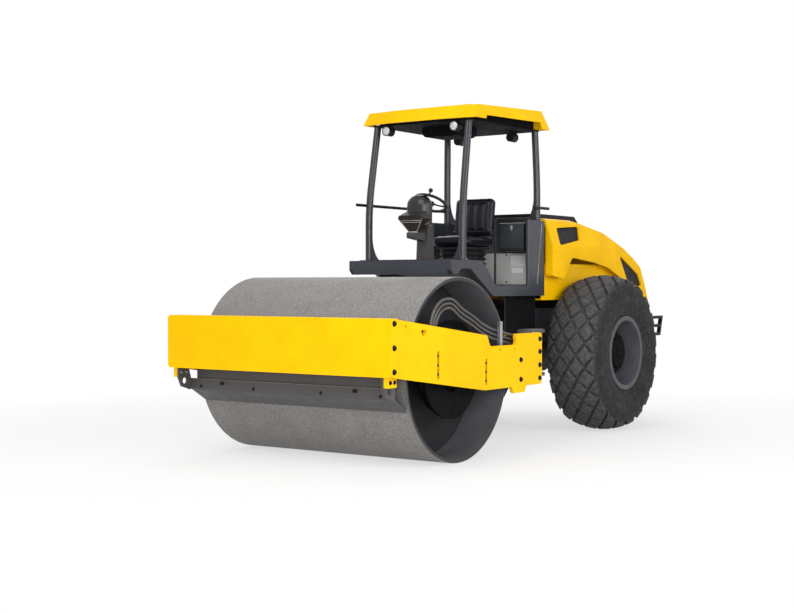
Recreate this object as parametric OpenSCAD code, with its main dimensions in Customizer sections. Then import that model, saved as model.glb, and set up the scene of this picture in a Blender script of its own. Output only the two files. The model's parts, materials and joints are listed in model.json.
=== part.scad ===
// Single drum soil roller: smooth vibrating drum in front, two drive tyres behind,
// articulated in the middle, with an open operator station under a four-post roof.
// +X is forward, +Y is the machine's left, +Z is up, and the ground is at Z = 0.

/* [Overall] */
// Drum axis to rear axle
wheelbase = 3010; // [2960:10:3150]
// Width over the drum frame
frame_w = 2300; // [2280:10:2360]

/* [Drum] */
// Outer diameter of the drum
drum_d = 1500; // [1470:5:1520]
// Wall of the drum shell
drum_wall = 30; // [24:1:40]
// Plate of the drum's end discs
disc_t = 28; // [20:1:36]
// Depth of the end discs inside the drum
disc_inset = 330; // [315:5:380]

/* [Drum frame] */
// Plate of the side plates
side_plate_t = 30; // [24:1:36]
// Height of the front beam
beam_h = 438; // [400:2:460]
// Depth of the front beam's channel
beam_depth = 130; // [110:5:150]
// Height of the frame behind the drum
frame_rear_h = 448; // [430:2:470]
// Depth of the rear crossmember
cross_depth = 140; // [120:5:160]

/* [Articulation] */
// Diameter of the oscillation journal
journal_d = 150; // [120:2:170]
// Diameter of the steering pivot pins
pivot_pin_d = 80; // [60:2:90]

/* [Wheels] */
// Outer diameter of the tyre over its blocks
tyre_d = 1530; // [1500:5:1560]
// Width of the tyre
tyre_w = 555; // [530:1:580]
// Distance between the outer faces of the two tyres
track_over_tyres = 2220; // [2200:5:2260]
// Diameter of the rim's bead seat
rim_d = 665; // [650:1:690]
// Tread blocks around the tyre
tread_blocks = 20; // [18:1:22]

/* [Operator station] */
// Width of the platform
platform_w = 1110; // [1090:5:1130]
// Depth of the platform's edge beam
edge_h = 126; // [110:2:140]
// Diameter of the roof posts
post_d = 66; // [50:1:76]
// Floor to the underside of the roof
head_room = 1263; // [1230:5:1300]
// Rise of the roof's front
roof_h = 118; // [100:2:140]
// Width of the roof
roof_w = 1250; // [1230:5:1300]

/* [Hood and rear] */
// Half width of the hood at its widest
hood_half_w = 610; // [600:2:620]
// Wall of the hood
hood_wall = 16; // [10:1:20]

/* [Hidden] */
$fn = 64;
overrun = 2;
seat_gap = 0.3;
run_gap = 0.08;
move_gap = 6;

// Places along the machine, from the front
beam_reach = 300;
frame_reach = 455;
pivot_reach = 757;
tail_reach = 150;
hood_front_share = 64 / 153;
hood_rear_share = 157 / 153;
front_overhang = drum_d / 2 + beam_reach;
frame_setback = drum_d / 2 + frame_reach;
pivot_setback = drum_d / 2 + pivot_reach;
hood_front = hood_front_share * tyre_d;
hood_rear = hood_rear_share * tyre_d;
rear_overhang = hood_rear + tail_reach;
overall_l = front_overhang + wheelbase + rear_overhang;
front_x = overall_l / 2;
rear_x = -overall_l / 2;
drum_x = front_x - front_overhang;
axle_x = drum_x - wheelbase;
pivot_x = drum_x - pivot_setback;
frame_rear_x = drum_x - frame_setback;
hood_front_x = axle_x + hood_front;
hood_tail_x = axle_x - hood_rear;

// Heights, from the ground up
beam_drop = 5;
frame_drop = 178;
osc_rise = 40;
rail_drop = 230;
arch_rise = 125;
rail_rise = 435;
entry_rise = 230;
floor_rise = 222;
bulkhead_h = 615;
hood_rise_share = 263 / 306;
hood_tail_share = 73 / 306;
drum_z = drum_d / 2;
axle_z = tyre_d / 2;
beam_z = drum_z - beam_drop;
frame_rear_z = drum_z - frame_drop;
osc_z = drum_z + osc_rise;
rail_low_z = osc_z - rail_drop;
rail_arch_z = axle_z + arch_rise;
rail_top_z = axle_z + rail_rise;
entry_z = rail_top_z + entry_rise;
floor_z = entry_z + floor_rise;
roof_z = floor_z + head_room;
bulkhead_top_z = entry_z + bulkhead_h;
hood_top_z = axle_z + hood_rise_share * tyre_d;
hood_tail_z = axle_z + hood_tail_share * tyre_d;

// Drum frame
drum_side_gap = 55;
drum_w = frame_w - 2 * (side_plate_t + drum_side_gap);
plate_y = frame_w / 2 - side_plate_t / 2;
plate_in_y = frame_w / 2 - side_plate_t;
front_plate_t = 24;
beam_flange_t = 20;
frame_rear_top_z = frame_rear_z + frame_rear_h;
plate_round = 30;
kink_low = 266;
notch_front = 301;
notch_low_front = 346;
notch_low_rear = 782;
notch_rear = 744;
notch_depth = 92;
tab_front = 688;
tab_rear = 938;
tab_slope = 34;
tab_h = 54;
slot_w = 30;
slot_h = 222;
slot_front = 422;
slot_front_z = 61;
slot_rear = 284;
slot_rear_z = -28;
eye_points = [[661, 344], [560, 336], [638, 286]];
eye_round = 12;
plate_hole_d = 24;
plate_holes = [[859, 372], [-501, 145], [-734, 143]];
lug_l = 110;
lug_h = 80;
lug_t = 40;
lug_in = 85;
lug_y = frame_w / 2 - lug_in;

// Scraper in front of the drum, and the arms that hold it
arm_t = 20;
arm_hole_d = 56;
arm_hole_reach = 205;
arm_hole_drop = 118;
arm_foot_drop = 182;
arm_hole_x = drum_x + drum_d / 2 + arm_hole_reach;
arm_hole_z = drum_z - arm_hole_drop;
arm_foot_z = drum_z - arm_foot_drop;
arm_shares = [
    [1, 1], [1.02, 0.55], [0.75, 0.1], [0.32, 0], [0, -0.1], [0, 0.45], [0.2, 1]];
scraper_w = 2 * (lug_y - arm_t);
scraper_t = 14;
scraper_gap = 14;
scraper_tip_drop = 295;
scraper_fold_drop = 190;
scraper_top_drop = 102;
scraper_reach = 132;
scraper_tip_z = drum_z - scraper_tip_drop;
scraper_fold_z = drum_z - scraper_fold_drop;
scraper_top_z = drum_z - scraper_top_drop;
scraper_face_x = drum_x + drum_d / 2 + scraper_reach;
holder_t = 12;

// Drum carriers, buffers and motors
hub_r = 165;
hub_l = 65;
stub_r = 60;
stub_l = 50;
carrier_t = 25;
carrier_r = 400;
carrier_hole_r = 175;
carrier_in = 120;
rib_t = 44;
rib_over = 14;
buffer_l = 70;
buffer_r = 50;
buffer_count = 8;
buffer_pcd = 580;
flange_r = 350;
flange_t = 22;
motor_r = 150;
motor_out = 55;
exciter_r = 190;

// Hoses from the drum motor to the crossmember, as shares of the drum's radius
hose_d = 26;
hose_sides = 10;
hose_pitch = 36;
hose_count = 3;
hose_shares = [
    [0.203, 0.073, 0], [0.365, 0.15, 0.15], [0.485, 0.258, 0.4], [0.561, 0.385, 0.65],
    [0.574, 0.516, 0.85], [0.533, 0.632, 0.95], [0.45, 0.715, 1], [0.333, 0.759, 1],
    [0.176, 0.753, 1], [-0.012, 0.652, 1], [-0.216, 0.573, 1], [-0.415, 0.483, 1],
    [-0.64, 0.414, 1], [-0.88, 0.37, 1], [-1.118, 0.325, 1], [-1.3, 0.288, 1]];
clamp_w = 40;
clamp_t = 12;
clamp_h = 200;
clamp_back = 549;

// Articulation joint
bearing_r = 190;
bearing_back = 70;
yoke_r = 105;
yoke_h = 300;
ear_t = 40;
ear_gap = 5;
ear_r = 120;
ear_back = 300;
neck_w = 180;
neck_h = 220;
collar_r = 130;
collar_t = 40;
journal_l = 190;
arm_reach = 240;
arm_w = 120;
steer_t = 30;
steer_rise = 18;
steer_z = osc_z + steer_rise;
eye_r = 42;
eye_h = 36;
rod_r = 17;
rod_l = 460;
barrel_r = 48;
barrel_front = 250;
barrel_l = 450;
barrel_floor = 15;
steer_boss = 26;

// Chassis
rail_t = 25;
rail_y = 330;
rail_arch_front = 330;
rail_arch_rear = 340;
rail_slope = 170;
rail_tail_drop = 115;
rail_rear_z = axle_z - rail_tail_drop;
rail_rear = hood_rear - tail_reach;
front_wall_t = 40;

// Counterweight, guards and tow recess
weight_h = 470;
weight_w = 960;
weight_drop = 125;
weight_z = axle_z - weight_drop;
weight_chamfer = 90;
guard_t = 36;
guard_h = 215;
guard_l = 320;
guard_out = 210;
guard_bar = 32;
guard_rise = 330;
guard_top_z = axle_z + guard_rise;
tow_t = 40;
tow_w = 160;
tow_l = 110;
tow_hole_d = 52;

// Rear axle
axle_r = 85;
diff_r = 210;
diff_w = 300;
axle_flange_r = 190;
axle_flange_t = 30;
axle_pad_w = 90;
axle_pad_l = 220;
spindle_r = 70;
spindle_l = 60;

// Wheels
wheel_y = track_over_tyres / 2 - tyre_w / 2;
tread_r = tyre_d / 2;
tread_half = 250;
tread_lines = 3;
block_depth = 32;
block_share = 0.8;
edge_share = 0.72;
crown_drop = 56;
bead_w = 470;
rim_wall = 14;
rim_lip = 30;
rim_r = rim_d / 2;
side_shares = [[0.86, 0.97], [0.62, 1], [0.28, 0.95]];
dish_t = 20;
dish_out = 40;
hub_cap_r = 178;
hub_cap_l = 90;

// Platform, measured forward from the bulkhead
platform_gap = 95;
platform_l = 1610;
bulkhead_x = axle_x + hood_front + platform_gap;
front_edge_x = bulkhead_x + platform_l;
platform_half = platform_w / 2;
edge_t = 40;
floor_t = 12;
slope_top = 1097;
slope_low = 866;
band_h = 74;
band_low = 905;
band_high = 1290;
band_nose = 1445;
nose_l = 105;
entry_band_h = 100;
bulkhead_t = 30;
side_panel_l = 270;
side_panel_t = 30;
pillar_w = 90;
pillar_l = 95;
mount_w = 130;
mount_l = 120;
step_gap = 60;
step_l = 250;
step_w = 160;
step_t = 32;
step_high = 420;
step_low = 830;
step_in = 85;
step_plate_t = 15;
step_plate_front = 555;
step_plate_rear = 0;

// Roof and posts, measured forward from the bulkhead
front_post = 1361;
front_post_top = 1242;
rear_post = 45;
rear_post_top = 62;
post_y = 515;
post_top_y = 500;
post_bend_h = 508;
post_bend_l = 200;
post_bend_steps = 4;
post_sides = 24;
rear_bend_h = 355;
roof_front = 1348;
roof_rear = -11;
roof_slope = 68;
roof_tail_slope = 105;
roof_rise = 56;
roof_side_slope = 36;
roof_sweep = 8;
roof_sweep_y = 310;
roof_field_h = 26;
roof_field_inset = 150;
skirt_t = 14;
skirt_cut_front = 1123;
skirt_cut_rear = 145;
skirt_cut_low = 34;
skirt_cut_high = 60;
skirt_cut_run = 24;
frame_tube = 60;
liner_t = 14;
lamp_stem_r = 12;
lamp_front_in = 36;
lamp_rear_in = 130;
bearer_w = 50;
bearer_in = 30;
pod_l = 320;
pod_w = 400;
pod_h = 104;
pod_round = 50;
pod_back = 630;
lamp_r = 44;
lamp_l = 82;
lamp_y = 372;
lamp_rear_y = 300;
lamp_drop = 4;
gusset_t = 14;
gusset_w = 115;
gusset_h = 250;
gusset_steps = 8;
rail_d = 28;
rail_h = 518;
rail_out = 124;
stub_rail_out = 140;
grab_d = 20;
grab_x = 846;
grab_h = 610;

// Controls and seat, measured forward from the bulkhead
console_x = 1195;
console_w = 110;
console_l = 130;
console_h = 324;
pedal_front = 1435;
pedal_l = 210;
pedal_w = 80;
pedal_low = 178;
pedal_h = 78;
dash_w = 250;
dash_front = 1365;
dash_back = 1205;
dash_low = 257;
dash_h = 598;
dash_front_round = 64;
dash_back_round = 95;
dash_side_round = 115;
visor_w = 270;
visor_front = 1447;
visor_t = 60;
visor_foot_w = 90;
visor_head_w = 190;
visor_mid = 378;
visor_top = 465;
wheel_x = 1115;
wheel_h = 533;
wheel_ring_r = 150;
wheel_ring_t = 14;
wheel_sides = 8;
wheel_steps = 36;
wheel_tilt = 28;
column_r = 26;
column_l = 205;
knob_r = 20;
lever_r = 9;
lever_l = 52;
knob_turn = 28;
seat_x = 555;
seat_w = 430;
seat_l = 480;
seat_t = 110;
seat_h = 415;
seat_z = entry_z + seat_h;
seat_back_h = 365;
seat_back_t = 110;
seat_back_tilt = 8;
seat_base_w = 360;
seat_base_l = 380;
box_w = 270;
box_l = 210;
box_h = 270;
box_up = 325;

// Engine, panels and hood
engine_l = 900;
engine_w = 2 * (rail_y - rail_t);
engine_h = 600;
engine_front = 40;
engine_gap = 20;
engine_z = axle_z + diff_r + engine_gap;
panel_y = 515;
panel_t = 14;
panel_low = 100;
panel_high = 440;
panel_tail = 220;
panel_lap = 50;
panel_tail_in = 210;
panel_bend_in = 670;
hinge_r = 18;
hinge_pin_r = 9;
hinge_in = 25;
hinge_up = 12;
hinge_y = 260;
hinge_w = 60;
hinge_gap = 5;
bracket_w = 40;
hood_shoulder_w = 90;
hood_shoulder_h = 260;
hood_round = 60;
column_w = 80;
hood_top_shares = [
    [1, 0.999], [0.765, 1], [0.475, 0.884], [0.348, 0.766], [0.215, 0.634], [0.121, 0.522],
    [0.068, 0.32], [0, 0]];
hood_top_radii = [0, 200, 200, 100, 100, 100, 100, 0];
hood_low_shares = [
    [0.077, 0], [0.19, 0.126], [0.33, 0.4], [0.462, 0.507], [0.611, 0.56], [0.819, 0.605],
    [0.894, 0.381], [1, 0.411]];
hood_low_radii = [20, 60, 150, 200, 200, 80, 40, 30];
inlet_shares = [[0.92, 0.906], [0.7, 0.938], [0.726, 0.79], [0.93, 0.722]];
inlet_round = 24;
flank_shares = [[0.354, 0.659], [0.146, 0.44], [0.1, 0.304], [0.25, 0.326]];
flank_round = 16;
inlet_lap = 12;
inlet_t = 10;
louvre_w = 760;
louvre_h = 26;
louvre_pitch = 56;
louvre_count = 6;
louvre_up = 90;
louvre_l = 320;
top_w = 840;
top_h = 48;
top_slope = 120;
top_share = 0.588;

YELLOW = "#ffc907";
DARK = "#3b3e46";
BLACK = "#1f2023";
STEEL = "#8b8784";
SILVER = "#b9bcbd";
RUBBER = "#2a2a2b";

// Plain helpers

// A plate with its outline in X and Z, centred on Y
module xz_plate(points, t) {
    rotate([90, 0, 0]) linear_extrude(height = t, center = true) polygon(points);
}

// A plate with its outline in Y and Z, centred on X
module yz_plate(points, t) {
    rotate([90, 0, 90]) linear_extrude(height = t, center = true) polygon(points);
}

// A block from one corner to the opposite one
module block(low, high) {
    translate(low) cube([high[0] - low[0], high[1] - low[1], high[2] - low[2]]);
}

module rod_x(r, l) { rotate([0, 90, 0]) cylinder(r = r, h = l, center = true); }
module rod_y(r, l) { rotate([90, 0, 0]) cylinder(r = r, h = l, center = true); }

// A round bar from one point to another
module bar(from, to, r) {
    d = to - from;
    l = norm(d);
    translate(from)
        rotate([0, acos(d[2] / l), atan2(d[1], d[0])])
            cylinder(r = r, h = l);
}

// The same thing on both sides of the machine
module both_sides() {
    children();
    mirror([0, 1, 0]) children();
}

function unit(v) = v / norm(v);
function turn(v) = [-v[1], v[0]];

// An outline whose corners are rounded, each with its own radius
function corner_arc(a, b, c, r, steps) =
    let (u = unit(a - b), v = unit(c - b), half = acos(u * v) / 2, t = r / tan(half),
         mid = b + unit(u + v) * r / sin(half), from = b + u * t - mid, to = b + v * t - mid,
         sweep = 180 - 2 * half, sign = (from[0] * to[1] - from[1] * to[0]) > 0 ? 1 : -1)
    [for (i = [0:steps]) let (k = sign * sweep * i / steps)
        mid + [from[0] * cos(k) - from[1] * sin(k), from[0] * sin(k) + from[1] * cos(k)]];
function rounded(points, radii, steps = 5) =
    let (n = len(points))
    [for (i = [0:n - 1])
        let (r = is_list(radii) ? radii[i] : radii)
        each r > 0
            ? corner_arc(points[(i + n - 1) % n], points[i], points[(i + 1) % n], r, steps)
            : [points[i]]];

// An anticlockwise outline moved inward by a distance
function inset(points, d) =
    let (n = len(points))
    [for (i = [0:n - 1])
        let (a = turn(unit(points[i] - points[(i + n - 1) % n])),
             b = turn(unit(points[(i + 1) % n] - points[i])))
        points[i] + d * (a + b) / (1 + a * b)];

// A tube swept along points, its rings kept upright
function sweep_ring(p, dir, r, sides) =
    let (side = unit(cross(dir, [0, 0, 1]) + [0, 0.001, 0]), up = cross(side, dir))
    [for (k = [0:sides - 1]) let (a = 360 * k / sides) p + r * (cos(a) * side + sin(a) * up)];
module sweep(path, r, sides) {
    n = len(path);
    rings = [for (i = [0:n - 1])
        sweep_ring(path[i], unit(path[min(i + 1, n - 1)] - path[max(i - 1, 0)]), r, sides)];
    walls = [for (i = [0:n - 2], k = [0:sides - 1])
        let (j = (k + 1) % sides)
        each [[i * sides + k, i * sides + j, (i + 1) * sides + j],
              [i * sides + k, (i + 1) * sides + j, (i + 1) * sides + k]]];
    low = [[for (k = [0:sides - 1]) sides - 1 - k]];
    high = [[for (k = [0:sides - 1]) (n - 1) * sides + k]];
    polyhedron(points = [for (ring = rings) each ring], faces = concat(walls, low, high));
}

// A smooth curve through points
function spline_at(p, i, t) =
    let (n = len(p), a = p[max(i - 1, 0)], b = p[i], c = p[i + 1], d = p[min(i + 2, n - 1)])
    0.5 * (2 * b + (c - a) * t + (2 * a - 5 * b + 4 * c - d) * t * t + (3 * b - a - 3 * c + d) * t * t * t);
function smooth_path(p, steps) =
    [for (i = [0:len(p) - 2], k = [0:steps - 1]) spline_at(p, i, k / steps), p[len(p) - 1]];

// Drum

module drum_place() { translate([drum_x, 0, drum_z]) children(); }

module drum_shell() {
    chamfer = drum_wall / 5;
    ri = drum_d / 2 - drum_wall;
    ro = drum_d / 2;
    h = drum_w / 2;
    color(STEEL) drum_place() rotate([90, 0, 0]) rotate_extrude($fn = 128)
        polygon([[ri, -h], [ro - chamfer, -h], [ro, chamfer - h],
                 [ro, h - chamfer], [ro - chamfer, h], [ri, h]]);
}

// End discs, each with the boss that runs on the motor's stub shaft
disc_out_y = drum_w / 2 - disc_inset;
hub_face_y = disc_out_y + hub_l;
module drum_discs() {
    ring = drum_d / 2 - drum_wall - seat_gap;
    color(DARK) both_sides() drum_place() difference() {
        union() {
            translate([0, disc_out_y - disc_t / 2, 0]) rod_y(ring, disc_t, $fn = 128);
            translate([0, disc_out_y + hub_l / 2, 0]) rod_y(hub_r, hub_l);
        }
        translate([0, hub_face_y, 0]) rod_y(stub_r + run_gap, 2 * (hub_l + disc_t / 2));
    }
}

module drum_exciter() {
    color(DARK) drum_place() rod_y(exciter_r, 2 * (disc_out_y - disc_t - seat_gap));
}

// Drum frame

// Channel across the front, with the two lugs that carry the scraper's arms
module front_beam() {
    plate = rounded([
        [-frame_w / 2, -beam_h / 2], [frame_w / 2, -beam_h / 2],
        [frame_w / 2, beam_h / 2], [-frame_w / 2, beam_h / 2]], plate_round);
    color(YELLOW) difference() {
        union() {
            translate([front_x - front_plate_t / 2, 0, beam_z + beam_h / 2]) yz_plate(plate, front_plate_t);
            block([front_x - beam_depth, -plate_in_y, beam_z],
                  [front_x - front_plate_t, plate_in_y, beam_z + beam_h]);
            both_sides()
                block([front_x - front_plate_t - lug_l, lug_y, beam_z - lug_h],
                      [front_x - front_plate_t, lug_y + lug_t, beam_z]);
        }
        block([front_x - beam_depth - overrun, beam_flange_t - plate_in_y, beam_z + beam_flange_t],
              [front_x - front_plate_t, plate_in_y - beam_flange_t, beam_z + beam_h - beam_flange_t]);
    }
}

// Upright slot with round ends
module slot(x, z) {
    translate([x, 0, z]) {
        cube([slot_w, 2 * side_plate_t, slot_h - slot_w], center = true);
        for (end = [-1, 1])
            translate([0, 0, end * (slot_h - slot_w) / 2]) rod_y(slot_w / 2, 2 * side_plate_t, $fn = 24);
    }
}

module side_plate() {
    front = front_x - front_plate_t;
    notch_z = frame_rear_top_z - notch_depth;
    outline = [
        [front, beam_z], [front, beam_z + beam_h],
        [drum_x - notch_front, frame_rear_top_z], [drum_x - notch_low_front, notch_z],
        [drum_x - notch_low_rear, notch_z], [drum_x - notch_rear, frame_rear_top_z],
        [frame_rear_x, frame_rear_top_z], [frame_rear_x, frame_rear_z],
        [drum_x - tab_rear, frame_rear_z], [drum_x - tab_rear + tab_slope, frame_rear_z - tab_h],
        [drum_x - tab_front - tab_slope, frame_rear_z - tab_h], [drum_x - tab_front, frame_rear_z],
        [drum_x - kink_low, frame_rear_z]];
    r = plate_round;
    corners = [0, 0, r, r, r, r, r, r, r / 2, r / 2, r / 2, r / 2, r];
    eye = rounded([for (p = eye_points) [drum_x + p[0], drum_z + p[1]]], eye_round);
    color(YELLOW) translate([0, plate_y, 0]) difference() {
        xz_plate(rounded(outline, corners), side_plate_t);
        xz_plate(eye, 2 * side_plate_t);
        slot(drum_x + slot_front, drum_z + slot_front_z);
        slot(drum_x - slot_rear, drum_z + slot_rear_z);
        for (p = plate_holes)
            translate([drum_x + p[0], 0, drum_z + p[1]]) rod_y(plate_hole_d / 2, 2 * side_plate_t, $fn = 24);
    }
}
module side_plate_left() { side_plate(); }
module side_plate_right() { mirror([0, 1, 0]) side_plate(); }

// Box beam behind the drum, with the housing of the oscillation bearing
module rear_crossmember() {
    half = plate_in_y;
    cover = beam_flange_t;
    color(YELLOW) difference() {
        union() {
            block([frame_rear_x, -half, frame_rear_z + cover],
                  [frame_rear_x + cross_depth, half, frame_rear_top_z - cover]);
            translate([frame_rear_x + (cross_depth - bearing_back) / 2, 0, osc_z])
                rod_x(bearing_r, cross_depth + bearing_back);
        }
        translate([frame_rear_x, 0, osc_z]) rod_x(journal_d / 2 + run_gap, 3 * cross_depth);
        for (side = [-1, 1])
            translate([frame_rear_x + cross_depth, side * (half + bearing_r) / 2, osc_z])
                cube([cross_depth, half - bearing_r - 2 * cover, frame_rear_h - 4 * cover], center = true);
    }
}

// Bent blade that hangs below the front beam, with its holder and the two end arms.
// The arms are bolted inside the beam's lugs and have the lashing eyes.
module scraper() {
    tip_x = drum_x + sqrt(pow(drum_d / 2 + scraper_gap, 2) - pow(drum_z - scraper_tip_z, 2));
    rise = scraper_fold_z - scraper_tip_z;
    back_x = scraper_face_x - scraper_t;
    blade = [
        [tip_x, scraper_tip_z], [scraper_face_x, scraper_fold_z], [scraper_face_x, scraper_top_z],
        [back_x, scraper_top_z], [back_x, scraper_fold_z + scraper_t], [tip_x, scraper_tip_z + scraper_t]];
    holder = [
        [back_x, scraper_fold_z + rise / 2], [back_x, beam_z], [back_x - holder_t, beam_z],
        [back_x - holder_t, scraper_fold_z + rise / 2]];
    l = front_x - front_plate_t - scraper_face_x;
    arm = [for (p = arm_shares) [scraper_face_x + p[0] * l, arm_foot_z + p[1] * (beam_z - arm_foot_z)]];
    color(BLACK) {
        xz_plate(blade, scraper_w);
        xz_plate(holder, scraper_w - lug_l);
        both_sides() translate([0, lug_y - arm_t / 2, 0]) difference() {
            xz_plate(rounded(arm, arm_t / 2), arm_t);
            translate([arm_hole_x, 0, arm_hole_z]) rod_y(arm_hole_d / 2, arm_t + overrun);
        }
    }
}

// Drum carriers

carrier_out_y = plate_in_y - carrier_in;
buffer_out_y = carrier_out_y - carrier_t;
flange_out_y = buffer_out_y - buffer_l;
motor_in_y = hub_face_y + move_gap;

// Ring plates held off the side plates by two ribs behind the slots
module drum_carriers() {
    color(DARK) both_sides() drum_place() {
        translate([0, carrier_out_y - carrier_t / 2, 0]) difference() {
            rod_y(carrier_r, carrier_t);
            rod_y(carrier_hole_r, carrier_t + overrun);
        }
        for (rib = [[slot_front, slot_front_z], [-slot_rear, slot_rear_z]])
            translate([rib[0], (buffer_out_y + plate_in_y) / 2, rib[1]])
                cube([rib_t, plate_in_y - buffer_out_y, slot_h + 2 * rib_over], center = true);
    }
}

module drum_buffers() {
    color(RUBBER) both_sides() drum_place()
        for (k = [0:buffer_count - 1]) {
            a = 360 * (k + 0.5) / buffer_count;
            translate([cos(a) * buffer_pcd / 2, buffer_out_y - buffer_l / 2, sin(a) * buffer_pcd / 2])
                rod_y(buffer_r, buffer_l, $fn = 32);
        }
}

module drum_motors() {
    color(DARK) both_sides() drum_place() {
        translate([0, flange_out_y - flange_t / 2, 0]) rod_y(flange_r, flange_t);
        translate([0, (carrier_out_y + motor_out + motor_in_y) / 2, 0])
            rod_y(motor_r, carrier_out_y + motor_out - motor_in_y);
        translate([0, motor_in_y - stub_l / 2, 0]) rod_y(stub_r, stub_l);
    }
}

// Hoses that leave the drum motor, arch inside the drum's rim and run back inside the plate
hose_y = (plate_in_y + drum_w / 2) / 2;
function hose_point(s, start_y) =
    [drum_x + s[0] * drum_d / 2, start_y + s[2] * (hose_y - start_y), drum_z + s[1] * drum_d / 2];
function side_step(p, i) =
    let (d = p[min(i + 1, len(p) - 1)] - p[max(i - 1, 0)]) unit([-d[2], 0, d[0]]);
module drum_hoses() {
    line = [for (s = hose_shares) hose_point(s, carrier_out_y + hose_d)];
    color(BLACK) for (k = [0:hose_count - 1])
        sweep(smooth_path([for (i = [0:len(line) - 1])
            line[i] + side_step(line, i) * k * hose_pitch], 3), hose_d / 2, hose_sides);
}

// Strap that holds the hoses in the notch of the left side plate
module hose_clamp() {
    notch_z = frame_rear_top_z - notch_depth;
    x = drum_x - clamp_back;
    color(SILVER) block([x - clamp_w / 2, hose_y + hose_d / 2 + seat_gap, notch_z],
                        [x + clamp_w / 2, plate_in_y + clamp_t, notch_z + clamp_h]);
}

// Articulation

module pivot_yoke() {
    journal_back = frame_rear_x - bearing_back - move_gap;
    color(DARK) {
        translate([pivot_x, 0, osc_z]) cylinder(r = yoke_r, h = yoke_h, center = true);
        translate([pivot_x, 0, osc_z])
            cylinder(r = pivot_pin_d / 2, h = yoke_h + 2 * (ear_gap + ear_t), center = true);
        block([pivot_x, -neck_w / 2, osc_z - neck_h / 2],
              [journal_back - collar_t, neck_w / 2, osc_z + neck_h / 2]);
        translate([journal_back - collar_t / 2, 0, osc_z]) rod_x(collar_r, collar_t);
        translate([journal_back + journal_l / 2 - collar_t, 0, osc_z])
            rod_x(journal_d / 2, journal_l + 2 * collar_t);
        translate([pivot_x, 0, steer_z + steer_t / 2])
            cube([arm_w, 2 * arm_reach + arm_w, steer_t], center = true);
    }
}

// Piston rod with its eye below the yoke's arm
module steering_rod() {
    z = steer_z - ear_gap - eye_h / 2;
    color(SILVER) translate([pivot_x, arm_reach, z]) {
        cylinder(r = eye_r, h = eye_h, center = true);
        translate([-rod_l / 2, 0, 0]) rod_x(rod_r - run_gap, rod_l);
    }
}
module steering_rod_left() { steering_rod(); }
module steering_rod_right() { mirror([0, 1, 0]) steering_rod(); }

module steering_barrels() {
    z = steer_z - ear_gap - eye_h / 2;
    back = pivot_x - barrel_front - barrel_l;
    color(DARK) both_sides() translate([0, arm_reach, z]) difference() {
        union() {
            translate([back + barrel_l / 2, 0, 0]) rod_x(barrel_r, barrel_l);
            block([back - steer_boss, -barrel_r, -barrel_r],
                  [back + steer_boss, rail_y - rail_t - arm_reach, barrel_r]);
        }
        translate([back + barrel_floor + barrel_l, 0, 0]) rod_x(rod_r, 2 * barrel_l);
    }
}

// Chassis

// Cross wall with the two ears that hold the pivot pins, and the rails behind it
module chassis() {
    wall_x = pivot_x - ear_back;
    ear_z = yoke_h / 2 + ear_gap;
    z = steer_z - ear_gap - eye_h / 2;
    rail = [
        [wall_x, rail_low_z], [wall_x, rail_top_z],
        [axle_x - rail_rear, rail_top_z], [axle_x - rail_rear, rail_rear_z],
        [axle_x - rail_arch_rear - rail_slope, rail_rear_z], [axle_x - rail_arch_rear, rail_arch_z],
        [axle_x + rail_arch_front, rail_arch_z], [axle_x + rail_arch_front + rail_slope, rail_low_z]];
    color(DARK) difference() {
        union() {
            block([wall_x - front_wall_t, -rail_y, rail_low_z], [wall_x, rail_y, rail_top_z]);
            both_sides() translate([0, rail_y - rail_t / 2, 0]) xz_plate(rail, rail_t);
            for (side = [-1, 1])
                translate([0, 0, osc_z + side * (ear_z + ear_t / 2)]) {
                    translate([pivot_x, 0, 0]) cylinder(r = ear_r, h = ear_t, center = true);
                    translate([(wall_x + pivot_x) / 2, 0, 0])
                        cube([pivot_x - wall_x, 2 * ear_r, ear_t], center = true);
                }
        }
        translate([pivot_x, 0, osc_z])
            cylinder(r = pivot_pin_d / 2 + run_gap, h = 2 * yoke_h + 4 * ear_t, center = true);
        for (side = [-1, 1])
            translate([wall_x, side * arm_reach, z])
                cube([4 * front_wall_t, 5 * barrel_r / 2, 5 * barrel_r / 2], center = true);
    }
}

// Cast weight with the tow recess, and on it the brackets whose pins the hood turns on
hinge_x = hood_tail_x + hinge_in;
hinge_z = hood_tail_z + hinge_up;
module counterweight() {
    half = weight_w / 2;
    front = axle_x - rail_rear;
    top = weight_z + weight_h;
    color(DARK) {
        difference() {
            translate([0, 0, weight_z]) linear_extrude(height = weight_h)
                polygon([[front, -half], [front, half], [rear_x + weight_chamfer, half],
                         [rear_x, half - weight_chamfer], [rear_x, weight_chamfer - half],
                         [rear_x + weight_chamfer, -half]]);
            translate([rear_x, 0, weight_z + weight_h / 3])
                cube([2 * tow_l, tow_w + tow_t, tow_w], center = true);
            translate([rear_x + tow_l / 2, 0, weight_z]) cylinder(r = tow_hole_d / 2, h = weight_h);
        }
        both_sides() {
            block([hinge_x - hinge_r, hinge_y + hinge_w / 2 + hinge_gap, top],
                  [hinge_x + hinge_r, hinge_y + hinge_w / 2 + bracket_w - hinge_gap, hinge_z + hinge_r]);
            translate([hinge_x, hinge_y + hinge_gap / 2, hinge_z])
                rod_y(hinge_pin_r, hinge_w + 2 * hinge_gap, $fn = 32);
        }
    }
}

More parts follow.
